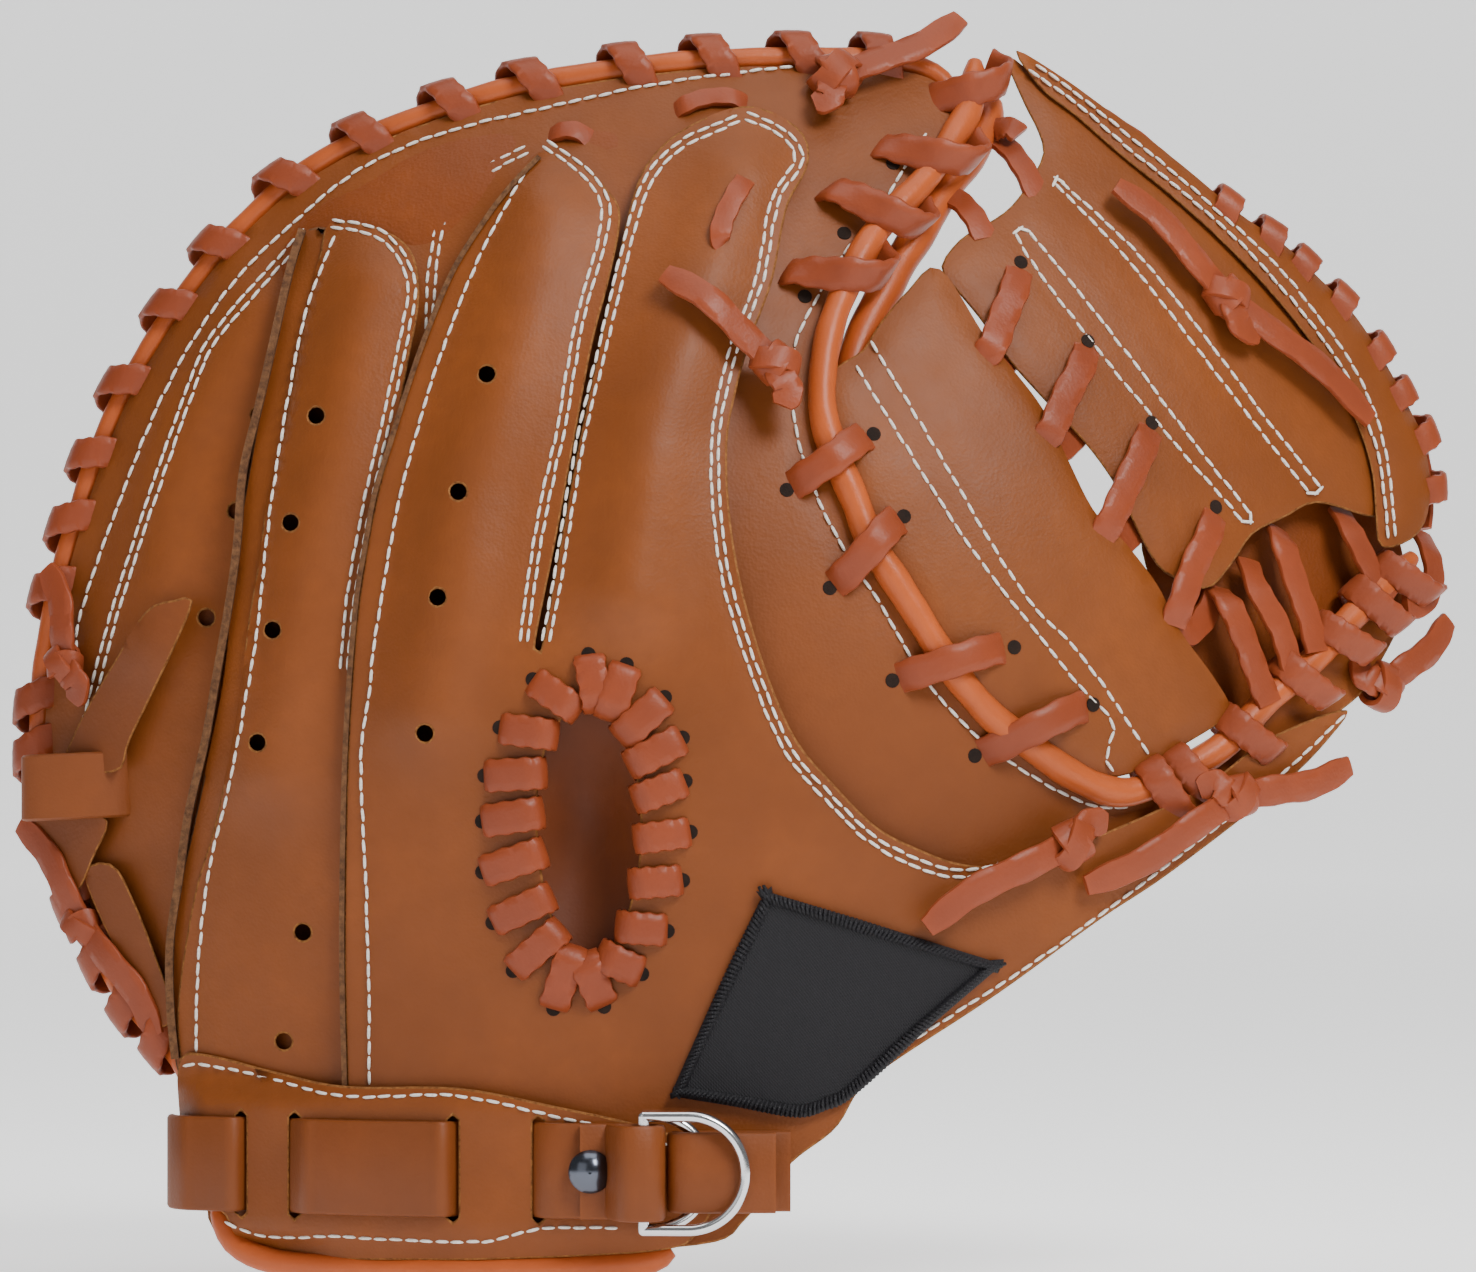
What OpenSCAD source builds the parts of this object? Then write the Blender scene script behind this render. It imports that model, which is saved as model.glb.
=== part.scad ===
// Baseball catcher's mitt for the left hand, seen from the back of the hand.
// X runs from the little finger to the thumb, +Z towards the fingertips and +Y towards the palm.
// The origin is on the hand lining, at the middle of the opening at the wrist. Millimetres.

/* [Back] */
// Height of the back leather's highest point, in front of the opening's middle
back_top = 36; // [30:1:42]
// Thickness of the shell leather
leather_t = 2.2; // [1.6:0.2:2.4]
// Room between two leathers that lie on each other
layer_gap = 0.4; // [0.3:0.1:0.6]

/* [Palm] */
// Depth of the palm leather in the pocket
pocket_y = 13; // [11:1:16]
// Height of the padded rim above the pocket
rim_rise = 34; // [26:1:36]
// Depth of the hand lining
liner_y = 0; // [-3:1:3]

/* [Fold] */
// How far the thumb side closes, in degrees
fold_range = 24; // [10:1:24]
// Depth of the fold's axis at the wrist
fold_y = -18; // [-20:1:-16]

/* [Laces and rolls] */
// Width of the rawhide lace
lace_w = 6.6; // [5:0.2:7]
// Thickness of the rawhide lace
lace_t = 1.6; // [1.2:0.2:2]
// Diameter of the piping roll round the rim
roll_d = 5.6; // [4:0.2:6]
// Diameter of the piping roll round the crotch
crotch_roll_d = 8; // [6:0.5:8]

/* [Wrist] */
// Width of the wrist strap
strap_w = 19; // [16:1:20]
// Thickness of the wrist strap
strap_t = 2; // [1.5:0.25:2.25]
// Wire diameter of the strap's rings
ring_wire = 2.2; // [1.6:0.1:2.4]
// Diameter of the rivet's cap
rivet_d = 8.6; // [7:0.2:10]

/* [Hidden] */

$fn = 32;
leather = "#b06d44";
rawhide = "#b9633f";
piping = "#cc6f3a";
felt = "#8a6a4c";

// ---- Points and curves. A plan point is [x, z]. ----

function mix(a, b, t) = a + (b - a) * t;
function clamp01(t) = min(1, max(0, t));
function smooth(t) = let(u = clamp01(t)) u * u * (3 - 2 * u);
function unit(v) = v / norm(v);

// A smooth curve through the points p, with n steps between each two.
function curve(p, n) =
    let(m = len(p) - 1)
    [for (i = [0 : m - 1], k = [0 : n - 1])
        let(t = k / n, a = p[max(i - 1, 0)], b = p[i], c = p[i + 1], d = p[min(i + 2, m)])
        0.5 * (2 * b + (c - a) * t + (2 * a - 5 * b + 4 * c - d) * t * t
            + (3 * b - a - 3 * c + d) * t * t * t),
     p[m]];

function lengths(p, i = 0, sum = 0) =
    i >= len(p) - 1 ? [sum] : concat([sum], lengths(p, i + 1, sum + norm(p[i + 1] - p[i])));

// The polyline p again, as n + 1 points at equal distances.
function even(p, n) =
    let(s = lengths(p), total = s[len(s) - 1])
    [for (k = [0 : n])
        let(want = total * k / n,
            i = max([for (j = [0 : len(p) - 2]) if (s[j] <= want + 1e-6) j]),
            t = clamp01((want - s[i]) / (s[i + 1] - s[i])))
        mix(p[i], p[i + 1], t)];

function to_segment(q, a, b) =
    let(d = b - a, t = clamp01(((q - a) * d) / (d * d))) norm(q - a - d * t);

// ---- The mitt's outline. ----

rim = [[-50, 4], [-60, 30], [-74, 47], [-88, 78], [-91, 101], [-86, 134], [-71, 174], [-42, 211],
       [-6, 229], [34, 237], [70, 239], [92, 237], [101, 229]];
crotch = [[101, 229], [94, 211], [84, 197], [73, 182], [69, 167], [72, 151], [80, 134], [92, 117],
          [106, 102]];
thumb_crotch = [[106, 102], [120, 92], [136, 88], [151, 96.5], [161, 106], [170, 114], [178, 121],
                [185, 128], [192, 132]];
thumb_edge = [[192, 132], [194, 121], [186, 110], [175, 101], [146, 77], [120, 59], [92, 41],
              [76, 26], [66, 14]];
heel = [[60, 6], [50, -1], [30, -5], [0, -8], [-30, -7], [-46, -2], [-50, 4]];
web_edge = [[108, 237], [128, 225], [146, 212], [164, 198], [179, 183], [189, 166], [194, 150],
            [192, 138]];

fold_foot = [48, 0];
fold_dir = unit([56, 98]);
fold_side = [fold_dir.y, -fold_dir.x];
function fold_point(z) = [fold_foot.x + z * fold_dir.x / fold_dir.y, z];

padded_line = concat(heel, rim, web_edge, thumb_edge);
leather_line = concat(heel, rim, crotch, thumb_crotch, thumb_edge);

// Distance from a plan point to a polyline.
function line_distance(q, p) = min([for (i = [0 : len(p) - 2]) to_segment(q, p[i], p[i + 1])]);
function edge_distance(q) = line_distance(q, leather_line);

// A clockwise plan line moved inwards by s.
function inward(p, s) = [for (i = [0 : len(p) - 1])
    let(t = unit(p[min(i + 1, len(p) - 1)] - p[max(i - 1, 0)])) p[i] + s * [t.y, -t.x]];

// ---- Surfaces: depth y over the plan. ----

dome_top = [45, 100];
side_fall = 0.0030;
tip_fall = 0.0028;
wrist_fall = 5;
wrist_reach = 85;
function dome(q) =
    -back_top + side_fall * pow(q.x - dome_top.x, 2)
    + (q.y > dome_top.y ? tip_fall * pow(q.y - dome_top.y, 2)
                        : wrist_fall * smooth((dome_top.y - q.y) / wrist_reach));
function wrist_share(q) = smooth((38 - q.y) / 28) * smooth((q.x + 64) / 16) * smooth((84 - q.x) / 18);
function rim_y(q) = mix(dome(q) + 7, 18, wrist_share(q));
function palm(q) =
    let(d = line_distance(q, padded_line),
        crest = pocket_y + rim_rise * exp(-pow(max(d - 17, 0) / 24, 2)))
    mix(rim_y(q), crest, smooth(edge_distance(q) / 14));
function lining(q) =
    mix(mix(dome(q) + 8, liner_y, wrist_share(q)), liner_y, smooth(edge_distance(q) / 42));

layer_pitch = leather_t + layer_gap;
function on_back(q, layer) = dome(q) - layer * layer_pitch;

// Along the fold the palm side stands back, so that the two sides stay clear when closed.
fold_rise = 0.13;
fold_share = tan(fold_range / 2 + 1);
function fold_depth(z) = fold_y + fold_rise * z;
function fold_gap(q) = 1.2 + max(0, palm(q) - fold_depth(q.y)) * fold_share;
function notch(q, side) = q + side * fold_side * fold_gap(q);

// ---- Solids from grids of points. ----

// Closed solid from triangles, turned the right way out.
module closed_solid(points, faces) {
    volumes = [for (f = faces) points[f[0]] * cross(points[f[1]], points[f[2]])];
    outward = volumes * [for (v = volumes) 1] > 0;
    polyhedron(points, outward ? [for (f = faces) [f[0], f[2], f[1]]] : faces);
}

// Closed solid between two grids of the same size. closed joins each row's end to its start.
module grid_solid(front, back, closed = false) {
    rows = len(front);
    n = len(front[0]);
    last = closed ? n - 1 : n - 2;
    at = rows * n;
    function id(r, i) = r * n + (i % n);
    skin = [for (r = [0 : rows - 2], i = [0 : last])
        each [[id(r, i), id(r, i + 1), id(r + 1, i + 1)], [id(r, i), id(r + 1, i + 1), id(r + 1, i)]]];
    far = [for (f = skin) [f[0] + at, f[2] + at, f[1] + at]];
    wall = [for (i = [0 : last]) each [
        [id(rows - 1, i), id(rows - 1, i + 1), id(rows - 1, i + 1) + at],
        [id(rows - 1, i), id(rows - 1, i + 1) + at, id(rows - 1, i) + at],
        [id(0, i + 1), id(0, i), id(0, i) + at],
        [id(0, i + 1), id(0, i) + at, id(0, i + 1) + at]]];
    ends = closed ? [] : [for (r = [0 : rows - 2]) each [
        [id(r, 0), id(r + 1, 0), id(r + 1, 0) + at],
        [id(r, 0), id(r + 1, 0) + at, id(r, 0) + at],
        [id(r + 1, n - 1), id(r, n - 1), id(r, n - 1) + at],
        [id(r + 1, n - 1), id(r, n - 1) + at, id(r + 1, n - 1) + at]]];
    closed_solid([for (row = front) each row, for (row = back) each row],
                 concat(skin, far, wall, ends));
}

function lifted(q, f) = [q.x, f(q), q.y];

// Sheet between the plan curves a and b, which have the same number of points.
module sheet(a, b, rows, front, back, closed = false) {
    plan = [for (r = [0 : rows]) [for (i = [0 : len(a) - 1]) mix(a[i], b[i], r / rows)]];
    grid_solid([for (row = plan) [for (q = row) lifted(q, front)]],
               [for (row = plan) [for (q = row) lifted(q, back)]], closed);
}

// Leather panel on the back, between plan curves a and b, on a layer above the dome.
module back_panel(a, b, rows, layer, closed = false) {
    color(leather)
        sheet(a, b, rows, function(q) on_back(q, layer), function(q) on_back(q, layer) + leather_t,
              closed);
}

// The 3-D points of path swept by a flat section of width w along across and thickness t.
module ribbon(path, across, w, t) {
    n = len(path);
    function along(i) = unit(path[min(i + 1, n - 1)] - path[max(i - 1, 0)]);
    rows = [for (s = [-1, 1]) [for (i = [0 : n - 1])
        let(u = unit(across[i] - (across[i] * along(i)) * along(i)), v = cross(along(i), u))
        [path[i] - u * w / 2 + s * v * t / 2, path[i] + u * w / 2 + s * v * t / 2]]];
    grid_solid(rows[1], rows[0]);
}

// Round tube of diameter d along the 3-D points of path.
module tube(path, d, sides = 8) {
    n = len(path);
    function along(i) = unit(path[min(i + 1, n - 1)] - path[max(i - 1, 0)]);
    ring = [for (i = [0 : n - 1])
        let(t = along(i), u = unit(cross(t, [0, 1, 0.01])), v = cross(t, u))
        for (k = [0 : sides - 1])
            path[i] + d / 2 * (u * cos(360 * k / sides) + v * sin(360 * k / sides))];
    side = [for (i = [0 : n - 2], k = [0 : sides - 1])
        let(a = i * sides + k, b = i * sides + (k + 1) % sides)
        each [[a, b, b + sides], [a, b + sides, a + sides]]];
    caps = [for (k = [1 : sides - 2]) each [
        [0, k + 1, k], [(n - 1) * sides, (n - 1) * sides + k, (n - 1) * sides + k + 1]]];
    closed_solid(ring, concat(side, caps));
}

// Space on one side of the fold, clear of the other side over the whole range.
module fold_half(side) {
    reach = 300;
    turn = atan2(fold_dir.x, fold_dir.y);
    tilt = atan(fold_rise * fold_dir.y);
    translate([fold_foot.x, fold_y, 0])
        rotate([-tilt, turn, 0])
            linear_extrude(height = 2 * reach, center = true)
                polygon([[side * 0.7, -reach], [side * 0.7, 0],
                         [side * (0.7 + reach * fold_share), reach],
                         [side * 2 * reach, reach], [side * 2 * reach, -reach]]);
}

// Band of lace round an edge: a flat ring at plan point q, whose axis runs along the edge.
module lace_band(q, along, y, r, w = lace_w) {
    translate([q.x, y, q.y])
        rotate([0, -atan2(along.y, along.x), 0])
            rotate([0, 90, 0])
                rotate_extrude()
                    translate([r - lace_t, -w / 2]) square([lace_t, w]);
}

// Bands of lace at count even places along a plan curve, shifted inwards by inset.
module lace_bands(p, count, inset, y_off, r, w = lace_w) {
    q = even(p, 2 * count);
    in = inward(q, inset);
    for (i = [0 : count - 1])
        lace_band(in[2 * i + 1], unit(q[2 * i + 2] - q[2 * i]), dome(q[2 * i + 1]) + y_off, r, w);
}

// Flat lace lying between plan points a and b, lift above the dome.
module lace_strap(a, b, lift, bow = 0, w = lace_w, steps = 4) {
    d = unit(b - a);
    side = [-d.y, d.x];
    path = [for (k = [0 : steps])
        let(t = k / steps, q = mix(a, b, t)) [q.x, dome(q) - lift - bow * sin(180 * t), q.y]];
    ribbon(path, [for (p = path) [side.x, 0, side.y]], w, lace_t);
}

// Knot: a round turn of lace on the surface at plan point q, with flat tails to the points in ends.
module knot(q, ends, lift = 5) {
    color(rawhide) {
        translate([q.x, dome(q) - lift - 0.4, q.y])
            rotate([90, 0, 0]) cylinder(h = 6, d = 9.5, center = true);
        for (e = ends) let(d = unit(e - q)) lace_strap(q + d * 5.2, e, lift + 2);
    }
}

// ---- Fingers' side: back leathers. ----

rim_steps = 44;
rim_line = inward(even(curve(rim, 6), rim_steps), 4.8);

module back_rim_panel() {
    under = [[-46, 30], [-56, 58], [-60, 80], [-66, 100], [-60, 130], [-48, 162], [-30, 182],
             [0, 196], [30, 204], [56, 206], [74, 210], [88, 218]];
    back_panel(even(curve(under, 4), rim_steps), rim_line, 3, 0);
}

module little_finger_panel() {
    left = [[-34, 202], [-46, 190], [-56, 176], [-63, 156], [-70, 132], [-76, 110], [-80, 96],
            [-72, 72], [-62, 48], [-58, 30]];
    right = [[-32, 202], [-37, 192], [-41, 162], [-45, 134], [-49, 108], [-54, 84], [-56, 60],
             [-56, 30]];
    back_panel(even(curve(right, 4), 22), even(curve(left, 4), 22), 3, 1);
}

module ring_finger_panel() {
    left = [[-29, 203], [-34, 192], [-37, 166], [-40, 138], [-45, 108], [-51, 82], [-54, 56],
            [-54, 30]];
    right = [[-20, 202], [-11, 192], [-12, 176], [-15, 156], [-19, 136], [-24, 114], [-28, 86],
             [-28, 30]];
    back_panel(even(curve(right, 4), 22), even(curve(left, 4), 22), 3, 1);
}

// The finger hole, narrow at its wrist end, and its rim point in the direction of plan point q.
hole_at = [23.5, 81];
function hole_point(q, grow) =
    let(d = unit(q - hole_at), w = 10.2 + 1.6 * min(0, d.y), h = 25.6)
    hole_at + d * (grow + 1 / norm([d.x / w, d.y / h]));

hand_back_left = [[-26, 12], [-26, 46], [-25, 76], [-23, 106], [-18, 134], [-12, 160], [-6, 182],
                  [2, 201], [16, 219]];
hand_back_right = [[30, 216], [40, 222], [58, 225], [66, 217], [63, 192], [56, 166], [53, 146],
                   [54, 126], [58, 106], [66, 91], [74, 83], [82, 78]];

module hand_back_panel() {
    edge = concat(even(curve(hand_back_left, 3), 24), even(curve(hand_back_right, 3), 24),
                  [for (z = [70, 52, 36, 22]) fold_point(z) - 1.2 * fold_side],
                  [[44, 5], [32, 2], [16, 1], [0, 2], [-14, 4], [-24, 7]]);
    back_panel(edge, [for (q = edge) hole_point(q, 0)], 5, 2, true);
}

crotch_panel_left = [[90, 233], [70, 226], [69, 210], [66, 192], [59, 166], [56, 146], [57, 128],
                     [61, 110], [69, 94], [78, 85], [88, 79]];

module crotch_panel() {
    line = inward(even(curve(crotch, 4), 24), 5);
    back_panel(even(curve(crotch_panel_left, 4), 20), [for (i = [2 : 22]) line[i]], 3, 1);
}

band_layer = 4;
strap_z = 13;
slots = [-46, -35, -3, 14];

module wrist_band() {
    top = [[-58, 36], [-26, 29], [8, 28], [34, 25], [47, 19]];
    foot = [[-50, 3], [-26, -4], [4, -5], [26, -3], [44, 0]];
    color(leather)
        difference() {
            back_panel(even(curve(foot, 4), 16), even(curve(top, 4), 16), 2, band_layer);
            for (x = slots)
                translate([x, 0, strap_z]) cube([8.6, 120, strap_w + 1], center = true);
        }
}

// Behind the finger hole the lining bulges away from the back.
module index_lining() {
    a = [for (z = [36 : 8 : 124]) [-1, z]];
    b = [for (z = [36 : 8 : 124]) [48, z]];
    function bulge(q) =
        on_back(q, 2) + leather_t + 0.5
        + 13 * smooth(1.15 - pow((q.x - 23.5) / 26, 2) - pow((q.y - 80) / 46, 2));
    color(leather) sheet(a, b, 9, function(q) bulge(q), function(q) bulge(q) + 1.2);
}

module finger_hole_lace() {
    laces = 18;
    ring = even([for (a = [0 : 6 : 360]) hole_point(hole_at + [9 * cos(a), 26 * sin(a)], 2.4)],
                laces);
    color(rawhide)
        for (k = [0 : laces - 1]) {
            q = mix(ring[k], ring[k + 1], 0.5);
            lace_band(q, unit(ring[k + 1] - ring[k]), on_back(q, 2) + 1.1, 4.4, 3.6);
        }
}

module finger_pull_laces() {
    color(rawhide) {
        lace_strap([38, 224], [54, 229], 3, 3, 3);
        lace_strap([13, 221], [25, 220], 3, 2.5, 2.4);
        lace_strap([50, 196], [54, 209], 8, 2.5, 3);
    }
}

// ---- Fingers' side: rolls and rim lace. ----

// Round roll along a plan line, rise above the dome.
module edge_roll(p, rise, d) {
    color(piping) tube([for (q = p) [q.x, dome(q) + rise, q.y]], d);
}

module rim_roll() {
    edge_roll(inward(even(curve(rim, 6), 60), 1), 3, roll_d);
}

module rim_lace() {
    color(rawhide) lace_bands(curve(rim, 8), 26, 2.4, 3, 6);
}

crotch_line = even(curve(crotch, 4), 28);
module crotch_roll() {
    edge_roll([for (i = [1 : 27]) crotch_line[i]], 1, crotch_roll_d);
}

module crotch_lace() {
    color(rawhide)
        for (i = [3, 7, 11, 15, 19, 23])
            lace_band(crotch_line[i], unit(crotch_line[i + 1] - crotch_line[i - 1]),
                      dome(crotch_line[i]) + 1, crotch_roll_d / 2 + 2, 5.6);
}

module wrist_roll() {
    p = [[-48, -1], [-40, -6], [-26, -9], [0, -10], [26, -8.5], [42, -5.5]];
    edge_roll(even(curve(p, 4), 18), -6, 6.2);
}

// ---- Fingers' side: palm. ----

finger_centre = [-5, 118];
heel_line = [[44, 2], [24, -4], [0, -7], [-26, -6], [-42, -1]];
pad_foot_line = [[50, 35], [26, 35], [2, 35], [-22, 35], [-44, 35]];
function finger_outline(inset, foot, first, last_z) = concat(
    inward([for (i = [first : 25]) even(curve(rim, 6), 26)[i]], inset),
    inward([for (i = [2 : 2 : 14]) even(curve(crotch, 4), 16)[i]], inset),
    [for (z = [98 : -16.5 : last_z])
        fold_point(z) - fold_side * (fold_gap(fold_point(z)) + inset / 4)],
    [for (q = foot) q + [0, inset / 3]]);

// Palm-side solid of the thumb, from the fold and crotch to the outer edge.
module thumb_sheet(inset, last, rows, front, back) {
    steps = 24;
    upper = concat(
        [for (z = [40, 56, 72, 90])
            fold_point(z) + fold_side * (fold_gap(fold_point(z)) + inset / 4)],
        inward([for (i = [9 : last]) even(curve(thumb_crotch, 3), 24)[i]], inset));
    lower = inward([for (i = [21 : -1 : 24 - last]) even(curve(thumb_edge, 3), 24)[i]],
                   -inset / 2);
    sheet(even(upper, steps), even(lower, steps), rows, front, back);
}

// Solid over a star-shaped outline round c, as rings that shrink towards the middle.
module disc(outline, c, rings, front, back) {
    tiny = [for (q = outline) mix(c, q, 0.06)];
    n = len(outline);
    plan = [for (r = [0 : rings]) [for (i = [0 : n - 1]) mix(tiny[i], outline[i], r / rings)]];
    top = [for (row = plan, q = row) lifted(q, front)];
    low = [for (row = plan, q = row) lifted(q, back)];
    at = len(top) + len(low);
    far = len(top);
    function id(r, i) = r * n + (i % n);
    skin = [for (r = [0 : rings - 1], i = [0 : n - 1])
        each [[id(r, i), id(r, i + 1), id(r + 1, i + 1)], [id(r, i), id(r + 1, i + 1), id(r + 1, i)]]];
    hub = [for (i = [0 : n - 1]) [at, id(0, i + 1), id(0, i)]];
    wall = [for (i = [0 : n - 1]) each [
        [id(rings, i), id(rings, i + 1), id(rings, i + 1) + far],
        [id(rings, i), id(rings, i + 1) + far, id(rings, i) + far]]];
    below = [for (f = concat(skin, hub)) [for (k = [0, 2, 1]) f[k] == at ? at + 1 : f[k] + far]];
    closed_solid(concat(top, low, [lifted(c, front), lifted(c, back)]),
                 concat(skin, hub, wall, below));
}

shell_t = 3;
lining_t = 1.5;
module palm_shell() {
    color(leather)
        disc(finger_outline(5, heel_line, 0, 14), finger_centre, 7, function(q) palm(q) - shell_t,
             function(q) palm(q));
}

// Under-surface of the palm leather, and padding below it down to the lining.
function pad_top(q) = max(palm(q) - shell_t - 2.4, lining(q) + 4);
function pad_foot(q) = lining(q) + 1.9;

module palm_pad() {
    color(felt)
        disc(finger_outline(13, pad_foot_line, 4, 40), finger_centre, 5,
             function(q) pad_foot(q), function(q) pad_top(q));
}

module palm_lining() {
    color(leather)
        disc(finger_outline(13, heel_line, 0, 14), finger_centre, 5, function(q) lining(q),
             function(q) lining(q) + lining_t);
}

module heel_pad() {
    a = [[-42, 8], [-24, 1], [0, 0], [22, 2], [36, 7]];
    b = [[-46, 33], [-24, 33], [0, 33], [22, 33], [40, 33]];
    color(felt)
        sheet(even(curve(a, 3), 12), even(curve(b, 3), 12), 5, function(q) pad_foot(q),
              function(q) pad_top(q));
}

// ---- Thumb side. ----

module thumb_back_panel() {
    top = [[94, 76], [98, 72], [108, 73], [128, 80], [150, 92], [172, 103]];
    low = [[61, 18], [68, 22], [82, 35], [102, 49], [128, 67], [160, 91]];
    back_panel(even(curve(low, 3), 16), even(curve(top, 3), 16), 3, 2);
}

thumb_line = even(curve(thumb_crotch, 4), 28);

module thumb_crotch_panel() {
    top = inward([for (i = [1 : 27]) thumb_line[i]], 5);
    low = [for (i = [0 : 26]) inward([for (k = [1 : 27]) thumb_line[k]], mix(18, 11, i / 26))[i]];
    back_panel(low, top, 2, 1);
}

module thumb_palm_shell() {
    color(leather)
        thumb_sheet(5, 22, 7, function(q) palm(q) - shell_t, function(q) palm(q));
}

module thumb_pad() {
    color(felt)
        thumb_sheet(7, 19, 4, function(q) pad_foot(q), function(q) pad_top(q));
}

module thumb_lining() {
    color(leather)
        thumb_sheet(7, 19, 4, function(q) lining(q), function(q) lining(q) + lining_t);
}

module thumb_roll() {
    edge_roll([for (i = [1 : 28]) thumb_line[i]], 1, crotch_roll_d);
}

module thumb_lace() {
    color(rawhide)
        for (i = [10 : 3 : 26])
            lace_band(thumb_line[i], unit(thumb_line[i + 1] - thumb_line[i - 1]),
                      dome(thumb_line[i]) + 1, crotch_roll_d / 2 + 2, 5.6);
}

module name_patch() {
    outline = [[62, 67], [81, 60.5], [102, 53], [91, 43], [77, 31.5], [66, 27.5], [54, 29], [44, 31.5],
               [50, 46]];
    centre = [72, 45];
    edge = curve([for (i = [0 : len(outline)]) outline[i % len(outline)]], 3);
    loop = [for (i = [0 : len(edge) - 2]) edge[i]];
    color("#2d2a30")
        disc(loop, centre, 3, function(q) on_back(q, 2) - 2, function(q) on_back(q, 2) - 0.4);
}

// ---- Web between the index finger and the thumb. ----

web_main_left = [[109, 232], [111, 222], [104, 206], [97, 195], [108, 176], [122, 158], [133, 142],
                 [142, 132], [152, 129]];
web_main_right = [[114, 231], [124, 223], [136, 212], [148, 199], [158, 186], [168, 175],
                  [177, 161], [181, 149], [182, 137]];
web_inner_right = [[92, 190], [102, 178], [112, 165], [122, 147], [132, 133], [144, 116],
                   [152, 105]];
web_gap = 5.4;

// Leather of the web between two plan lines, split by the fold.
module web_leather(a, b, rows, rise, t, side) {
    color(leather)
        intersection() {
            sheet(even(curve(a, 4), 20), even(curve(b, 4), 20), rows,
                  function(q) dome(q) + rise, function(q) dome(q) + rise + t);
            fold_half(side);
        }
}

function between(p, a, b, n) = [for (i = [0 : n]) even(p, 100)[round(mix(a, b, i / n))]];
web_inner_left = inward(concat(between(curve(crotch, 4), 36, 97, 8),
                               between(curve(thumb_crotch, 4), 4, 34, 3)), -web_gap);
web_palm_left = inward(concat(between(curve(crotch, 4), 10, 97, 8),
                              between(curve(thumb_crotch, 4), 4, 90, 8)), -web_gap);
web_palm_right = inward(web_edge, 5);

module web_inner(side) {
    web_leather(web_inner_left, web_inner_right, 4, 2.6, leather_t, side);
}
module web_main(side) {
    web_leather(web_main_left, web_main_right, 4, 0, leather_t, side);
}
module web_edging(side) {
    web_leather(inward(web_main_right, -1), inward(web_edge, 3.6), 2, 0, leather_t, side);
}
module web_palm(side) {
    web_leather(web_palm_left, web_palm_right, 5, 8, leather_t, side);
}

// Lace from web plan point a to b on the back, over and under.
module web_stitches(pairs, side, lift = 1.6) {
    color(rawhide)
        for (p = pairs)
            if (side * ((p[0] - fold_foot) * fold_side) > 0)
                lace_strap(p[0], p[1], lift, 1.2);
}

zigzag = [[[110, 193], [103, 175]], [[124, 178], [115, 158]], [[141, 154], [133, 138]],
          [[150, 144], [144, 124]]];
cross_laces = [[[63, 148], [81, 158.5]], [[71, 128], [87, 142]], [[84, 110], [109, 117]]];
thumb_cross = [[[152, 131], [158, 111]], [[163, 141], [170, 120]], [[178, 143], [182, 128]]];

module thumb_web_lacing() {
    web_stitches(zigzag, 1);
    web_stitches(thumb_cross, 1, 5.6);
}

module web_lacing() {
    web_stitches(zigzag, -1);
    web_stitches(cross_laces, -1, 5.6);
}

module web_edge_bands(side) {
    q = even(curve(web_edge, 4), 22);
    color(rawhide)
        for (i = [2 : 2 : 20])
            if (side * ((q[i] - fold_foot) * fold_side) > 8)
                lace_band(q[i] + 2 * unit([135, 150] - q[i]), unit(q[i + 1] - q[i - 1]),
                          dome(q[i]) + 5, 7.4, 5.6);
}

module index_laces() {
    color(rawhide) {
        lace_strap([97, 220], [113, 212], 4, 2);
        lace_strap([87, 206], [104, 200], 4, 2);
    }
}

// ---- Wrist strap, rings and the little finger's loop. ----

bar_x = 35;
bar_y = -48.9;
bar_half = 2.45;
function strap_dome(x) = wrist_fall - back_top + side_fall * pow(x - dome_top.x, 2);
band_out = band_layer * layer_pitch;
worn = band_out + 0.4 + strap_t / 2;
hidden = band_out - leather_t - 0.4 - strap_t / 2;

// How much of the way the strap is out in front of the band at x.
function out_share(x) =
    smooth((slots[0] + 3.5 - x) / 7)
    + smooth((x - slots[1] + 3.5) / 7) * smooth((slots[2] + 3.5 - x) / 7)
    + smooth((x - slots[3] + 3.5) / 7);

// Flat strap of width w, standing on edge, along the [x, y] points of p.
module standing_strap(p, w) {
    n = len(p);
    function off(i, s) =
        let(t = unit(p[min(i + 1, n - 1)] - p[max(i - 1, 0)])) p[i] + s * strap_t / 2 * [t.y, -t.x];
    color(leather)
        translate([0, 0, strap_z - w / 2])
            linear_extrude(height = w)
                polygon([for (i = [0 : n - 1]) off(i, 1), for (i = [n - 1 : -1 : 0]) off(i, -1)]);
}

tab_lift = 2.4;
module wrist_strap() {
    weave = [for (x = [-57 : 2 : 17]) [x, strap_dome(x) - mix(hidden, worn, out_share(x))
        - tab_lift * smooth((x - slots[3]) / 6)]];
    tab = [[22, strap_dome(22) - worn - tab_lift], [27, strap_dome(27) - worn - tab_lift - 1.2],
           [31, bar_y - 3.9], [35, bar_y - 4.9], [37.6, bar_y - 3.4], [38.3, bar_y],
           [37.6, bar_y + 3.4], [35, bar_y + 4.9], [31, bar_y + 5.4], [28, strap_dome(28) - worn - 0.4],
           [25, strap_dome(25) - worn], [22.4, strap_dome(22.4) - worn]];
    standing_strap(concat(weave, curve(tab, 4)), strap_w);
}

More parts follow.
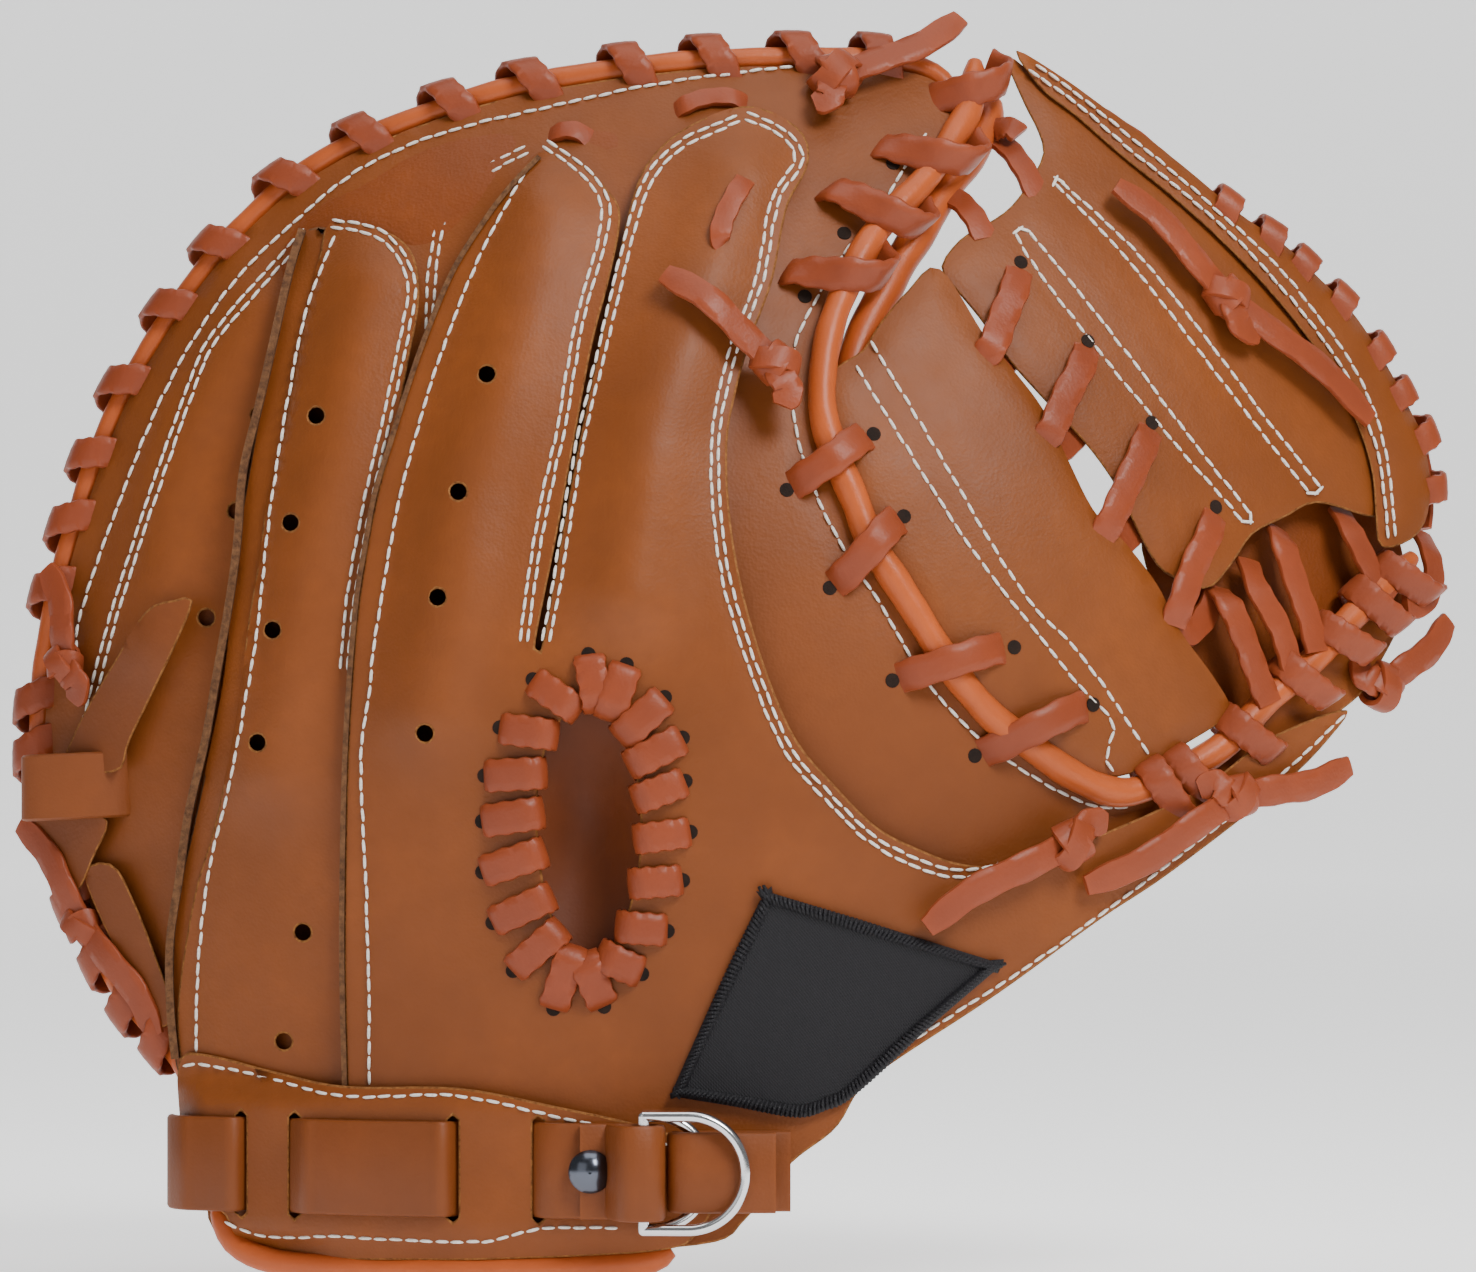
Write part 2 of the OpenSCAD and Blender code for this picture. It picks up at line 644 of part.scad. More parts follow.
module strap_tail() {
    p = [[64, bar_y + 6.3], [54, bar_y + 6.3], [45, bar_y + 6.2], [41.8, bar_y + 5.2],
         [40.6, bar_y + 3], [41, bar_y + 0.9], [43.4, bar_y], [47, bar_y], [52, bar_y],
         [57, bar_y + 0.2], [61, bar_y + 0.4]];
    standing_strap(curve(p, 4), strap_w - 3);
}

// D-shaped ring on a straight bar, its arc's centre reach to the right of the bar.
module d_ring(bar_at, reach) {
    r = strap_w / 2 + 0.6 + ring_wire / 2;
    color("#b9bcc0")
        translate([bar_x, bar_at, strap_z]) {
            cylinder(h = 2 * r, d = ring_wire, center = true);
            for (s = [-1, 1])
                translate([0, 0, s * r]) {
                    sphere(d = ring_wire);
                    rotate([0, 90, 0]) cylinder(h = reach, d = ring_wire);
                }
            translate([reach, 0, 0])
                rotate([90, 0, 0])
                    rotate([0, 0, -90])
                        rotate_extrude(angle = 180) translate([r, 0]) circle(d = ring_wire);
        }
}

module inner_ring() {
    d_ring(bar_y + bar_half, 1.6);
}

module outer_ring() {
    d_ring(bar_y - bar_half, 8.8);
}

module strap_rivet() {
    top = strap_dome(24.4) - worn - tab_lift - strap_t / 2;
    cap_h = 2.4;
    shank = 5;
    cap_r = (pow(rivet_d / 2, 2) + pow(cap_h, 2)) / (2 * cap_h);
    color("#3a3d44")
        translate([24.4, top - 0.4, strap_z])
            rotate([90, 0, 0]) {
                translate([0, 0, -shank]) cylinder(h = shank + 0.5, d = 3);
                intersection() {
                    translate([0, 0, cap_h - cap_r]) sphere(r = cap_r, $fn = 48);
                    cylinder(h = 10, d = rivet_d + 2);
                }
            }
}

module little_finger_loop() {
    color("#95623c") {
        lace_strap([-57, 125], [-74, 101], 7.6, 4, 10, 8);
        lace_strap([-76, 97.5], [-79, 72], 8, 0, 9, 6);
        lace_strap([-78.4, 69.5], [-66, 46], 7.6, 3, 9, 8);
        lace_band([-77.6, 86], unit([-3, -25]), dome([-77.6, 86]) - 8.2, 7.4, 9);
    }
}

// ---- Knots. ----

module index_tip_knot() {
    knot([74, 231], [[86, 241], [62, 238]], 6);
}
module index_knot() {
    knot([62, 173], [[46, 186], [68, 160]], 9);
}
module web_knot() {
    knot([150, 190], [[134, 206], [176, 168]], 5);
}
module little_finger_knot() {
    knot([-84, 113], [[-87, 128]], 6);
}
module heel_knot() {
    knot([-86, 63], [[-88, 76], [-82, 50]], 3);
}
module thumb_knot() {
    knot([154, 86.4], [[173, 92], [130, 72]], 8);
}
module thumb_edge_knot() {
    knot([121, 79], [[103, 68]], 8);
}
module thumb_tip_knot() {
    knot([186, 111.4], [[196, 122]], 8);
}

back_rim_panel();
little_finger_panel();
ring_finger_panel();
hand_back_panel();
crotch_panel();
wrist_band();
index_lining();
rim_roll();
rim_lace();
crotch_roll();
crotch_lace();
wrist_roll();
finger_hole_lace();
finger_pull_laces();
palm_shell();
palm_pad();
palm_lining();
heel_pad();
little_finger_loop();
wrist_strap();
strap_rivet();
strap_tail();
web_inner(-1);  // web_inner_panel
web_main(-1);  // web_main_panel
web_edging(-1);  // web_edge_panel
web_palm(-1);  // web_palm_panel
web_lacing();  // web_cross_lace
web_edge_bands(-1);  // web_edge_lace
index_laces();  // web_index_lace
index_tip_knot();
index_knot();
little_finger_knot();
heel_knot();
inner_ring();
outer_ring();
thumb_back_panel();
thumb_crotch_panel();
thumb_palm_shell();
thumb_pad();
thumb_lining();
thumb_roll();
thumb_lace();
name_patch();
web_inner(1);  // thumb_web_inner_panel
web_main(1);  // thumb_web_main_panel
web_edging(1);  // thumb_web_edge_panel
web_palm(1);  // thumb_web_palm_panel
thumb_web_lacing();  // thumb_web_lace
web_edge_bands(1);  // thumb_web_edge_lace
web_knot();
thumb_knot();
thumb_edge_knot();
thumb_tip_knot();
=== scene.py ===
import math
import random

import bpy
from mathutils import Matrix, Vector, noise
from mathutils.bvhtree import BVHTree
from mathutils.geometry import delaunay_2d_cdt


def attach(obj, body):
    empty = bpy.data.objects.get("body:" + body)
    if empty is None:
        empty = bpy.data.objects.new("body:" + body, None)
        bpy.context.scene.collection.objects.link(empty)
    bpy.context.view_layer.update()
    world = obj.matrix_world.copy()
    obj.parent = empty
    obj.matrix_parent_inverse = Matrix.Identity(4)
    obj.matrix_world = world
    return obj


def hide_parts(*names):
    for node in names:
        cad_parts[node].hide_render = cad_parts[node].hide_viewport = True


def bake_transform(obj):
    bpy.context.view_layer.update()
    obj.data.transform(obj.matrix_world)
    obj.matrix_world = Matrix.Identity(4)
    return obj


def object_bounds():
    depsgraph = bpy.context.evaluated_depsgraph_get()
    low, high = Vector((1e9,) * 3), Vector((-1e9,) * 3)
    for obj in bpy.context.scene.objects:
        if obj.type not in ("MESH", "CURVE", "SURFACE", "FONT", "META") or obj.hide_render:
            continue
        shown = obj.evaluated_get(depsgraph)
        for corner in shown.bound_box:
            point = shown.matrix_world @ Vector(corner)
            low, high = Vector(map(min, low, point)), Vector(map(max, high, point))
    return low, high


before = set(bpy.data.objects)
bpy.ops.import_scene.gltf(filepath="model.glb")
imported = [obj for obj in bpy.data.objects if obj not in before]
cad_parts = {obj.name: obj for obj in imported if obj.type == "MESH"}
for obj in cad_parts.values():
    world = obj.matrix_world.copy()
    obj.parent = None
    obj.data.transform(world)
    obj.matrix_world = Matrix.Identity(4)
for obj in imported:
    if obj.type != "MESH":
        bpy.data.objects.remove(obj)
CAD_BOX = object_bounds()
FINGERS, THUMB = "finger_side", "thumb_side"
MM = 0.001
random.seed(11)


# ---- Numbers and curves. Plan points are (x, z) in millimetres. ----

def smooth(t):
    """0 to 1 with a soft start and a soft end."""
    t = min(1.0, max(0.0, t))
    return t * t * (3 - 2 * t)


def mix(a, b, t):
    """From a to b as t goes from 0 to 1."""
    return a + (b - a) * t


def curve(points, steps=6, closed=False):
    """Smooth curve through points of any dimension."""
    p = [Vector(q) for q in points]
    n = len(p)
    out = []
    for i in range(n if closed else n - 1):
        pick = (lambda k: p[k % n]) if closed else (lambda k: p[min(max(k, 0), n - 1)])
        a, b, c, d = pick(i - 1), pick(i), pick(i + 1), pick(i + 2)
        for k in range(steps):
            t = k / steps
            out.append(0.5 * (2 * b + (c - a) * t + (2 * a - 5 * b + 4 * c - d) * t * t
                              + (3 * b - a - 3 * c + d) * t ** 3))
    return out if closed else out + [p[-1]]


def even(path, spacing, closed=False):
    """The path again, with points about spacing apart."""
    p = list(path) + ([path[0]] if closed else [])
    marks = [0.0]
    for a, b in zip(p, p[1:]):
        marks.append(marks[-1] + (b - a).length)
    count = max(2, round(marks[-1] / spacing))
    out, i = [], 0
    for k in range(count + 1):
        want = marks[-1] * k / count
        while i < len(p) - 2 and marks[i + 1] < want:
            i += 1
        span = marks[i + 1] - marks[i] or 1
        out.append(p[i].lerp(p[i + 1], (want - marks[i]) / span))
    return out[:-1] if closed else out


def shifted(path, s):
    """A clockwise plan line moved inwards by s."""
    out = []
    for i, q in enumerate(path):
        t = (path[min(i + 1, len(path) - 1)] - path[max(i - 1, 0)]).normalized()
        out.append(q + s * Vector((t.y, -t.x)))
    return out


def segment_distance(x, z, path):
    """How far the plan point is from the path."""
    best = 1e9
    for a, b in zip(path, path[1:]):
        dx, dz = b[0] - a[0], b[1] - a[1]
        t = ((x - a[0]) * dx + (z - a[1]) * dz) / (dx * dx + dz * dz)
        t = min(1.0, max(0.0, t))
        best = min(best, math.hypot(x - a[0] - t * dx, z - a[1] - t * dz))
    return best


def inside(x, z, loop):
    """True if the plan point lies in the loop."""
    hit, j = False, len(loop) - 1
    for i in range(len(loop)):
        (xi, zi), (xj, zj) = loop[i], loop[j]
        if (zi > z) != (zj > z) and x < (xj - xi) * (z - zi) / (zj - zi) + xi:
            hit = not hit
        j = i
    return hit


# ---- The mitt's outline and surfaces. ----

RIM = [
    (-50, 4), (-60, 30), (-74, 47), (-88, 78), (-91, 101), (-86, 134), (-71, 174), (-42, 211),
    (-6, 229), (34, 237), (70, 239), (92, 237), (101, 229)
]
CROTCH = [
    (101, 231), (99, 225), (96, 218), (91, 210), (86, 204), (80, 197), (73, 184), (70.5, 173),
    (70.5, 163), (73, 153), (77, 144), (81, 136), (89, 122), (97, 110.5), (105, 102), (113, 96),
    (121, 90.5), (129, 88), (137, 89)
]
THUMB_TOP = [(137, 89), (150, 96), (161, 106), (170.5, 114), (177, 121.5), (183, 127.5), (189, 132)]
THUMB_EDGE = [
    (192, 131), (193, 121), (186, 110), (177, 102), (163, 88), (140, 70.5), (126, 62), (106, 47),
    (86, 35), (78, 29)
]
HEEL = [(60, 6), (50, -1), (30, -5), (0, -8), (-30, -7), (-46, -2), (-50, 4)]
WEB_EDGE = [
    (113, 239), (129, 227), (138, 221), (147, 213), (156.5, 205.5), (165.5, 199.5), (172, 193.5),
    (180.5, 185), (187, 175), (191, 167), (195, 160), (196.5, 151), (196, 142), (192, 138), (184, 136)
]

BACK_TOP, SIDE_FALL, WRIST_FALL = 36.0, 0.0030, 5.0


def dome(x, z):
    """Depth of the back leather's lowest layer, as in the CAD."""
    fall = 0.0028 * (z - 100) ** 2 if z > 100 else WRIST_FALL * smooth((100 - z) / 85)
    return -BACK_TOP + SIDE_FALL * (x - 45) ** 2 + fall


FINGER_LINES = [
    ([(-66, 118), (-60, 160), (-46, 186)], 9.0, 3.2),
    ([(-40, 92), (-34, 130), (-27, 165), (-22, 190)], 8.5, 4.6),
    ([(-8, 104), (0, 150), (10, 185), (14, 205)], 9.6, 5.2),
    ([(32, 128), (36, 160), (46, 190), (54, 212)], 9.6, 5.0),
]


def skin(x, z):
    """The back's shape with the fingers' swells and soft creases."""
    y = dome(x, z)
    for line, width, height in FINGER_LINES:
        d = segment_distance(x, z, line)
        if d < 3 * width:
            y -= height * math.exp(-(d / width) ** 2)
    y += 1.1 * noise.noise(Vector((x * 0.022, 3.1, z * 0.016)))
    y += 0.35 * noise.noise(Vector((x * 0.075 + 7, 1.7, z * 0.05)))
    return y


def wrist_share(x, z):
    """1 at the wrist, where the palm parts from the back and leaves the hand's opening."""
    return smooth((38 - z) / 28) * smooth((x + 64) / 16) * smooth((84 - x) / 18)


POCKET_Y, RIM_RISE = 13.0, 34.0
PADDED_LINE = HEEL + RIM[1:] + WEB_EDGE[:-2] + THUMB_EDGE
LEATHER_LINE = HEEL + RIM[1:] + CROTCH + THUMB_TOP[1:] + THUMB_EDGE + [HEEL[0]]


def palm(x, z):
    """Depth of the palm leather."""
    d = segment_distance(x, z, PADDED_LINE)
    crest = POCKET_Y + RIM_RISE * math.exp(-(max(d - 17, 0) / 24) ** 2)
    edge = mix(dome(x, z) + 6, 18, wrist_share(x, z))
    return mix(edge, crest, smooth(segment_distance(x, z, LEATHER_LINE) / 14) ** 0.8)


def lining(x, z):
    """Depth of the lining that the hand touches."""
    edge = mix(dome(x, z) + 5, 0, wrist_share(x, z))
    return mix(edge, 0, smooth(segment_distance(x, z, LEATHER_LINE) / 42))


# ---- Objects. ----

def add_mesh(name, verts, faces, materials, indices=None, sharp=50):
    """A smooth-shaded object from points in millimetres (x, y, z)."""
    me = bpy.data.meshes.new(name)
    me.from_pydata([(v[0] * MM, v[1] * MM, v[2] * MM) for v in verts], [], faces)
    for m in materials:
        me.materials.append(m)
    if indices:
        me.polygons.foreach_set("material_index", indices)
    me.validate()
    me.shade_smooth()
    me.set_sharp_from_angle(angle=math.radians(sharp))
    ob = bpy.data.objects.new(name, me)
    bpy.context.scene.collection.objects.link(ob)
    return ob


def apply_modifiers(ob):
    """Makes the object's modifiers part of its mesh."""
    dg = bpy.context.evaluated_depsgraph_get()
    dg.update()
    me = bpy.data.meshes.new_from_object(ob.evaluated_get(dg))
    old = ob.data
    ob.modifiers.clear()
    ob.data = me
    bpy.data.meshes.remove(old)


def plan_mesh(loop, step, holes=()):
    """Triangles over a plan loop, less its holes: (points, triangles)."""
    loops = [list(loop)] + [list(h) for h in holes]
    points, edges = [], []
    for ring in loops:
        base = len(points)
        points += [Vector((q[0], q[1])) for q in ring]
        edges += [(base + i, base + (i + 1) % len(ring)) for i in range(len(ring))]
    tuples = [[(q[0], q[1]) for q in ring] for ring in loops]
    rims = [t + [t[0]] for t in tuples]
    lo_x, hi_x = min(q[0] for q in loop), max(q[0] for q in loop)
    lo_z, hi_z = min(q[1] for q in loop), max(q[1] for q in loop)
    row, z = 0, lo_z
    while z < hi_z:
        x = lo_x + (row % 2) * step / 2
        while x < hi_x:
            if inside(x, z, tuples[0]) and not any(inside(x, z, h) for h in tuples[1:]):
                if min(segment_distance(x, z, r) for r in rims) > 0.55 * step:
                    points.append(Vector((x, z)))
            x += step
        z += step * 0.866
        row += 1
    co, _, tris, *_ = delaunay_2d_cdt(points, edges, [], 0, 1e-5)
    keep = []
    for t in tris:
        cx = sum(co[i].x for i in t) / 3
        cz = sum(co[i].y for i in t) / 3
        if inside(cx, cz, tuples[0]) and not any(inside(cx, cz, h) for h in tuples[1:]):
            keep.append(tuple(t))
    return co, keep


def thick(name, co, tris, front, back, materials, bevel=0.42):
    """A leather piece between two depth functions over a plan mesh."""
    n = len(co)
    verts = [(q.x, front(q.x, q.y), q.y) for q in co] + [(q.x, back(q.x, q.y), q.y) for q in co]
    faces, sides = [], {}
    for a, b, c in tris:
        u, v = co[b] - co[a], co[c] - co[a]
        if u.x * v.y - u.y * v.x < 0:
            a, b, c = a, c, b
        faces += [(a, b, c), (c + n, b + n, a + n)]
        for e in ((a, b), (b, c), (c, a)):
            sides[e] = True
    rim = [e for e in sides if (e[1], e[0]) not in sides]
    indices = [0] * len(faces) + [1] * len(rim)
    faces += [(e[1], e[0], e[0] + n, e[1] + n) for e in rim]
    ob = add_mesh(name, verts, faces, materials, indices)
    if bevel:
        m = ob.modifiers.new("edge", "BEVEL")
        m.width, m.segments, m.limit_method, m.angle_limit = bevel * MM, 2, "ANGLE", math.radians(55)
        m.material = 1
        apply_modifiers(ob)
        ob.data.shade_smooth()
    return ob


def panel(name, loop, lift, materials, t=2.2, step=3.0, holes=(), vents=(), shape=skin):
    """Leather panel of thickness t whose face stands lift above shape."""
    ring = even(curve(loop, 5, True), step, True)
    cut = [even(curve(h, 5, True), step * 0.8, True) for h in holes]
    cut += [[Vector(q) for q in v] for v in vents]
    co, tris = plan_mesh(ring, step, cut)
    raise_by = lift if callable(lift) else (lambda x, z: lift)
    memo = {}

    def front(x, z):
        if (x, z) not in memo:
            memo[x, z] = shape(x, z) - raise_by(x, z)
        return memo[x, z]
    return thick(name, co, tris, front, lambda x, z: front(x, z) + t, materials)


def frames(path, up=None):
    """Tangent, side and normal at each point of a 3-D path."""
    out, side = [], None
    for i in range(len(path)):
        t = (path[min(i + 1, len(path) - 1)] - path[max(i - 1, 0)]).normalized()
        want = up[i] if up else Vector((0, -1, 0))
        s = t.cross(want)
        if s.length < 0.05 and side is not None:
            s = side
        s = (s - s.dot(t) * t).normalized()
        if side is not None and s.dot(side) < 0 and not up:
            s = -s
        side = s
        out.append((t, s, s.cross(t)))
    return out


def ring_section(sides):
    """A round section, 1 across."""
    turns = [math.tau * k / sides for k in range(sides)]
    return [(0.5 * math.cos(a), 0.5 * math.sin(a)) for a in turns]


ROUND, ROLL = ring_section(6), ring_section(14)
STITCH_PITCH, STITCH_LENGTH, STITCH_JITTER, THREAD_WIDTH = 3.1, 2.5, 0.12, 0.62
FLAT = [
    (-0.5, 0.0), (-0.46, 0.38), (-0.2, 0.5), (0.2, 0.5), (0.46, 0.38), (0.5, 0.0), (0.46, -0.38),
    (0.2, -0.5), (-0.2, -0.5), (-0.46, -0.38)
]


def sweep(path, section, sizes, up=None, closed=False):
    """(verts, faces) of a section swept along path; sizes gives (width, thickness) per point."""
    verts, faces, k = [], [], len(section)
    for p, (_, s, n), (w, h) in zip(path, frames(path, up), sizes):
        verts += [p + s * (u * w) + n * (v * h) for u, v in section]
    for i in range(len(path) - 1 + closed):
        a, b = i * k, ((i + 1) % len(path)) * k
        faces += [(a + j, a + (j + 1) % k, b + (j + 1) % k, b + j) for j in range(k)]
    if not closed:
        faces += [tuple(range(k))[::-1], tuple(range(len(verts) - k, len(verts)))]
    return verts, faces


class Batch:
    """Several swept shapes gathered in one object."""

    def __init__(self):
        self.verts, self.faces = [], []

    def add(self, made):
        base = len(self.verts)
        self.verts += made[0]
        self.faces += [tuple(base + i for i in f) for f in made[1]]

    def build(self, name, materials, sharp=60):
        return add_mesh(name, self.verts, self.faces, materials, None, sharp)


def on_skin(path, lift):
    """A plan path laid lift above the leather, as 3-D points."""
    return [Vector((q[0], skin(q[0], q[1]) - lift, q[1])) for q in path]


def skin_up(x, z, shape=skin):
    """The outward direction of the surface."""
    e = 1.5
    dx = (shape(x + e, z) - shape(x - e, z)) / (2 * e)
    dz = (shape(x, z + e) - shape(x, z - e)) / (2 * e)
    return Vector((dx, -1, dz)).normalized()


def stitches(batch, path, lift, shape=skin):
    """Thread stitches, end to end, along a plan path."""
    marks = even(path, STITCH_PITCH)
    for a, b in zip(marks, marks[1:]):
        d = (b - a).normalized()
        m = (a + b) / 2 + Vector((random.uniform(-1, 1), random.uniform(-1, 1))) * STITCH_JITTER
        d = (d + Vector((-d.y, d.x)) * random.uniform(-0.05, 0.05)).normalized()
        half = d * STITCH_LENGTH / 2
        raised = lift(m.x, m.y) if callable(lift) else lift
        line = [m - half, m - half * 0.55, m + half * 0.55, m + half]
        depth = (-0.22, 0.2, 0.2, -0.22)
        pts = [Vector((q.x, shape(q.x, q.y) - raised - h, q.y)) for q, h in zip(line, depth)]
        tip, middle = (THREAD_WIDTH * 0.65, THREAD_WIDTH * 0.65), (THREAD_WIDTH, THREAD_WIDTH * 0.9)
        batch.add(sweep(pts, ROUND, [tip, middle, middle, tip]))


def lace(batch, points, width=6.6, t=1.5, up=None, steps=6, taper=(1, 1)):
    """A flat lace through 3-D points; up gives its outward direction at each of them."""
    path = curve(points, steps)
    normals = [v.normalized() for v in curve(up, steps)] if up else None
    n = len(path) - 1
    sizes = []
    for i in range(n + 1):
        end = mix(taper[0], 1, smooth(i / 4)) * mix(taper[1], 1, smooth((n - i) / 4))
        sizes.append((width * end * (1 + 0.05 * math.sin(i * 1.3)), t))
    batch.add(sweep(path, FLAT, sizes, normals))


def lace_on(batch, plan, lifts, width=6.6, shape=skin, taper=(1, 1)):
    """A flat lace over the leather through plan points, with a lift at each."""
    pts = [Vector((q[0], shape(q[0], q[1]) - h, q[1])) for q, h in zip(plan, lifts)]
    ups = [skin_up(q[0], q[1], shape) for q in plan]
    lace(batch, pts, width, up=ups, taper=taper)


def wrap(batch, centre, along, inward, depth, profile, slant, width):
    """A turn of lace round an edge. profile holds (inwards, towards the palm) points."""
    pts, ups = [], []
    mid = sum((Vector(p) for p in profile), Vector((0, 0))) / len(profile)
    for k, (a, b) in enumerate(profile):
        s = slant * (1 - 2 * k / (len(profile) - 1))
        pts.append(centre + inward * a + depth * b + along * s)
        ups.append((inward * (a - mid.x) + depth * (b - mid.y)).normalized())
    lace(batch, pts, width, up=ups, steps=5)


def knot(batch, at, tails, lift, size=1.0):
    """An overhand knot of flat lace at plan point at, with tails to plan points."""
    x, z = at
    n = skin_up(x, z)
    c = Vector((x, skin(x, z) - lift, z))
    first = Vector((tails[0][0] - x, 0, tails[0][1] - z)).normalized()
    first = (first - first.dot(n) * n).normalized()
    side = first.cross(n)
    for turn, (ra, rb), w in ((0.15, (3.9, 3.0), 5.6), (1.2, (4.6, 3.3), 5.2)):
        axis = (first * math.cos(turn) + side * math.sin(turn)).normalized()
        across = axis.cross(n)
        ring, ups = [], []
        for k in range(13):
            a = math.tau * k / 13
            out = across * (ra * math.cos(a)) + n * (rb * math.sin(a))
            ring.append(c + out * size + axis * (0.7 * math.sin(2 * a) * size))
            ups.append(out.normalized())
        path = curve(ring, 3, True)
        normals = [v.normalized() for v in curve(ups, 3, True)]
        batch.add(sweep(path, FLAT, [(w * size, 1.5)] * len(path), normals, True))
    for k, end in enumerate(tails):
        e = Vector((end[0], end[1]))
        d = e - Vector(at)
        s = Vector((-d.y, d.x)).normalized() * (1.6 if k % 2 else -1.6)
        plan = [Vector(at), Vector(at) + d * 0.3 + s * 0.4, Vector(at) + d * 0.65 + s, e]
        lace_on(batch, plan, [lift, lift + 2.2, lift + 1.2 + end[2] * 0.6, lift + end[2]], 6.2,
                taper=(1, 0.72))


# ---- Materials. ----

def linear(rgb):
    """An sRGB colour, 0 to 255, as the linear one that Blender takes."""
    return [c / 12.92 if c <= 0.04045 else ((c + 0.055) / 1.055) ** 2.4
            for c in (v / 255 for v in rgb)] + [1.0]


class Shader:
    """Shorthand for building a node material."""

    def __init__(self, name):
        self.mat = bpy.data.materials.new(name)
        self.mat.use_nodes = True
        self.tree = self.mat.node_tree
        self.bsdf = self.tree.nodes["Principled BSDF"]
        self.coord = self.tree.nodes.new("ShaderNodeTexCoord").outputs["Object"]

    def node(self, kind, **values):
        n = self.tree.nodes.new(kind)
        for key, v in values.items():
            if key in n.inputs:
                n.inputs[key].default_value = v
            else:
                setattr(n, key, v)
        return n

    def link(self, a, b):
        self.tree.links.new(a, b)

    def noise(self, scale, detail=3.0, rough=0.55):
        n = self.node("ShaderNodeTexNoise", Scale=scale, Detail=detail, Roughness=rough)
        self.link(self.coord, n.inputs["Vector"])
        return n.outputs["Fac"]

    def ramp(self, source, low, high):
        n = self.node("ShaderNodeMapRange")
        n.inputs["From Min"].default_value, n.inputs["From Max"].default_value = low, high
        self.link(source, n.inputs["Value"])
        return n.outputs["Result"]

    def blend(self, fac, a, b, kind="MIX"):
        n = self.node("ShaderNodeMix", data_type="RGBA", blend_type=kind)
        if isinstance(fac, float):
            n.inputs[0].default_value = fac
        else:
            self.link(fac, n.inputs[0])
        for value, socket in ((a, n.inputs[6]), (b, n.inputs[7])):
            if isinstance(value, (list, tuple)):
                socket.default_value = value
            else:
                self.link(value, socket)
        return n.outputs[2]

    def bump(self, height, strength, distance, normal=None):
        n = self.node("ShaderNodeBump")
        n.inputs["Strength"].default_value, n.inputs["Distance"].default_value = strength, distance
        self.link(height, n.inputs["Height"])
        if normal:
            self.link(normal, n.inputs["Normal"])
        return n.outputs["Normal"]


def scaled(rgba, k):
    """The colour made k times as bright."""
    return [min(1.0, c * k) for c in rgba[:3]] + [1.0]


def leather(name, rgb, rough=0.5, grain=0.14, dark=0.78, wear=0.5):
    """Smooth oiled leather: fine pores, faint creases, mottled colour and paler rubbed ridges."""
    s = Shader(name)
    base = linear(rgb)
    mottle = s.ramp(s.noise(28, 4), 0.34, 0.68)
    colour = s.blend(mottle, scaled(base, dark), scaled(base, 1.08))
    fine = s.ramp(s.noise(260, 3), 0.3, 0.75)
    colour = s.blend(fine, colour, s.blend(0.5, colour, scaled(base, 0.8)))
    worn = s.node("ShaderNodeNewGeometry").outputs["Pointiness"]
    rub = s.ramp(worn, 0.53, 0.62)
    gain = s.node("ShaderNodeMath", operation="MULTIPLY")
    s.link(rub, gain.inputs[0])
    gain.inputs[1].default_value = wear
    colour = s.blend(gain.outputs[0], colour, scaled(base, 1.45))
    s.link(colour, s.bsdf.inputs["Base Color"])
    pores = s.node("ShaderNodeTexVoronoi", Scale=1500.0, feature="F1")
    s.link(s.coord, pores.inputs["Vector"])
    normal = s.bump(s.noise(55, 5, 0.6), 0.25, 0.0012)
    normal = s.bump(s.noise(420, 4, 0.6), grain, 0.0005, normal)
    normal = s.bump(pores.outputs["Distance"], grain, 0.0003, normal)
    s.link(normal, s.bsdf.inputs["Normal"])
    mixr = s.node("ShaderNodeMapRange")
    mixr.inputs["To Min"].default_value, mixr.inputs["To Max"].default_value = rough - 0.07, rough + 0.09
    s.link(s.noise(120, 3), mixr.inputs["Value"])
    s.link(mixr.outputs["Result"], s.bsdf.inputs["Roughness"])
    s.bsdf.inputs["Specular IOR Level"].default_value = 0.26
    return s.mat


def fibrous(name, rgb, rgb2, scale=900):
    """Raw leather edge, felt or thread: fibrous, matt and mottled."""
    s = Shader(name)
    fibre = s.ramp(s.noise(scale, 4, 0.7), 0.3, 0.7)
    s.link(s.blend(fibre, linear(rgb), linear(rgb2)), s.bsdf.inputs["Base Color"])
    s.link(s.bump(s.noise(scale * 1.6, 4, 0.7), 0.6, 0.0004), s.bsdf.inputs["Normal"])
    s.bsdf.inputs["Roughness"].default_value = 0.85
    s.bsdf.inputs["Specular IOR Level"].default_value = 0.2
    return s.mat


def metal(name, rgb, rough):
    """Plated metal with faint handling wear."""
    s = Shader(name)
    s.bsdf.inputs["Base Color"].default_value = linear(rgb)
    s.bsdf.inputs["Metallic"].default_value = 1.0
    wear = s.node("ShaderNodeMapRange")
    wear.inputs["To Min"].default_value, wear.inputs["To Max"].default_value = rough, rough + 0.14
    s.link(s.noise(700, 4), wear.inputs["Value"])
    s.link(wear.outputs["Result"], s.bsdf.inputs["Roughness"])
    s.link(s.bump(s.noise(240, 2), 0.06, 0.0003), s.bsdf.inputs["Normal"])
    return s.mat


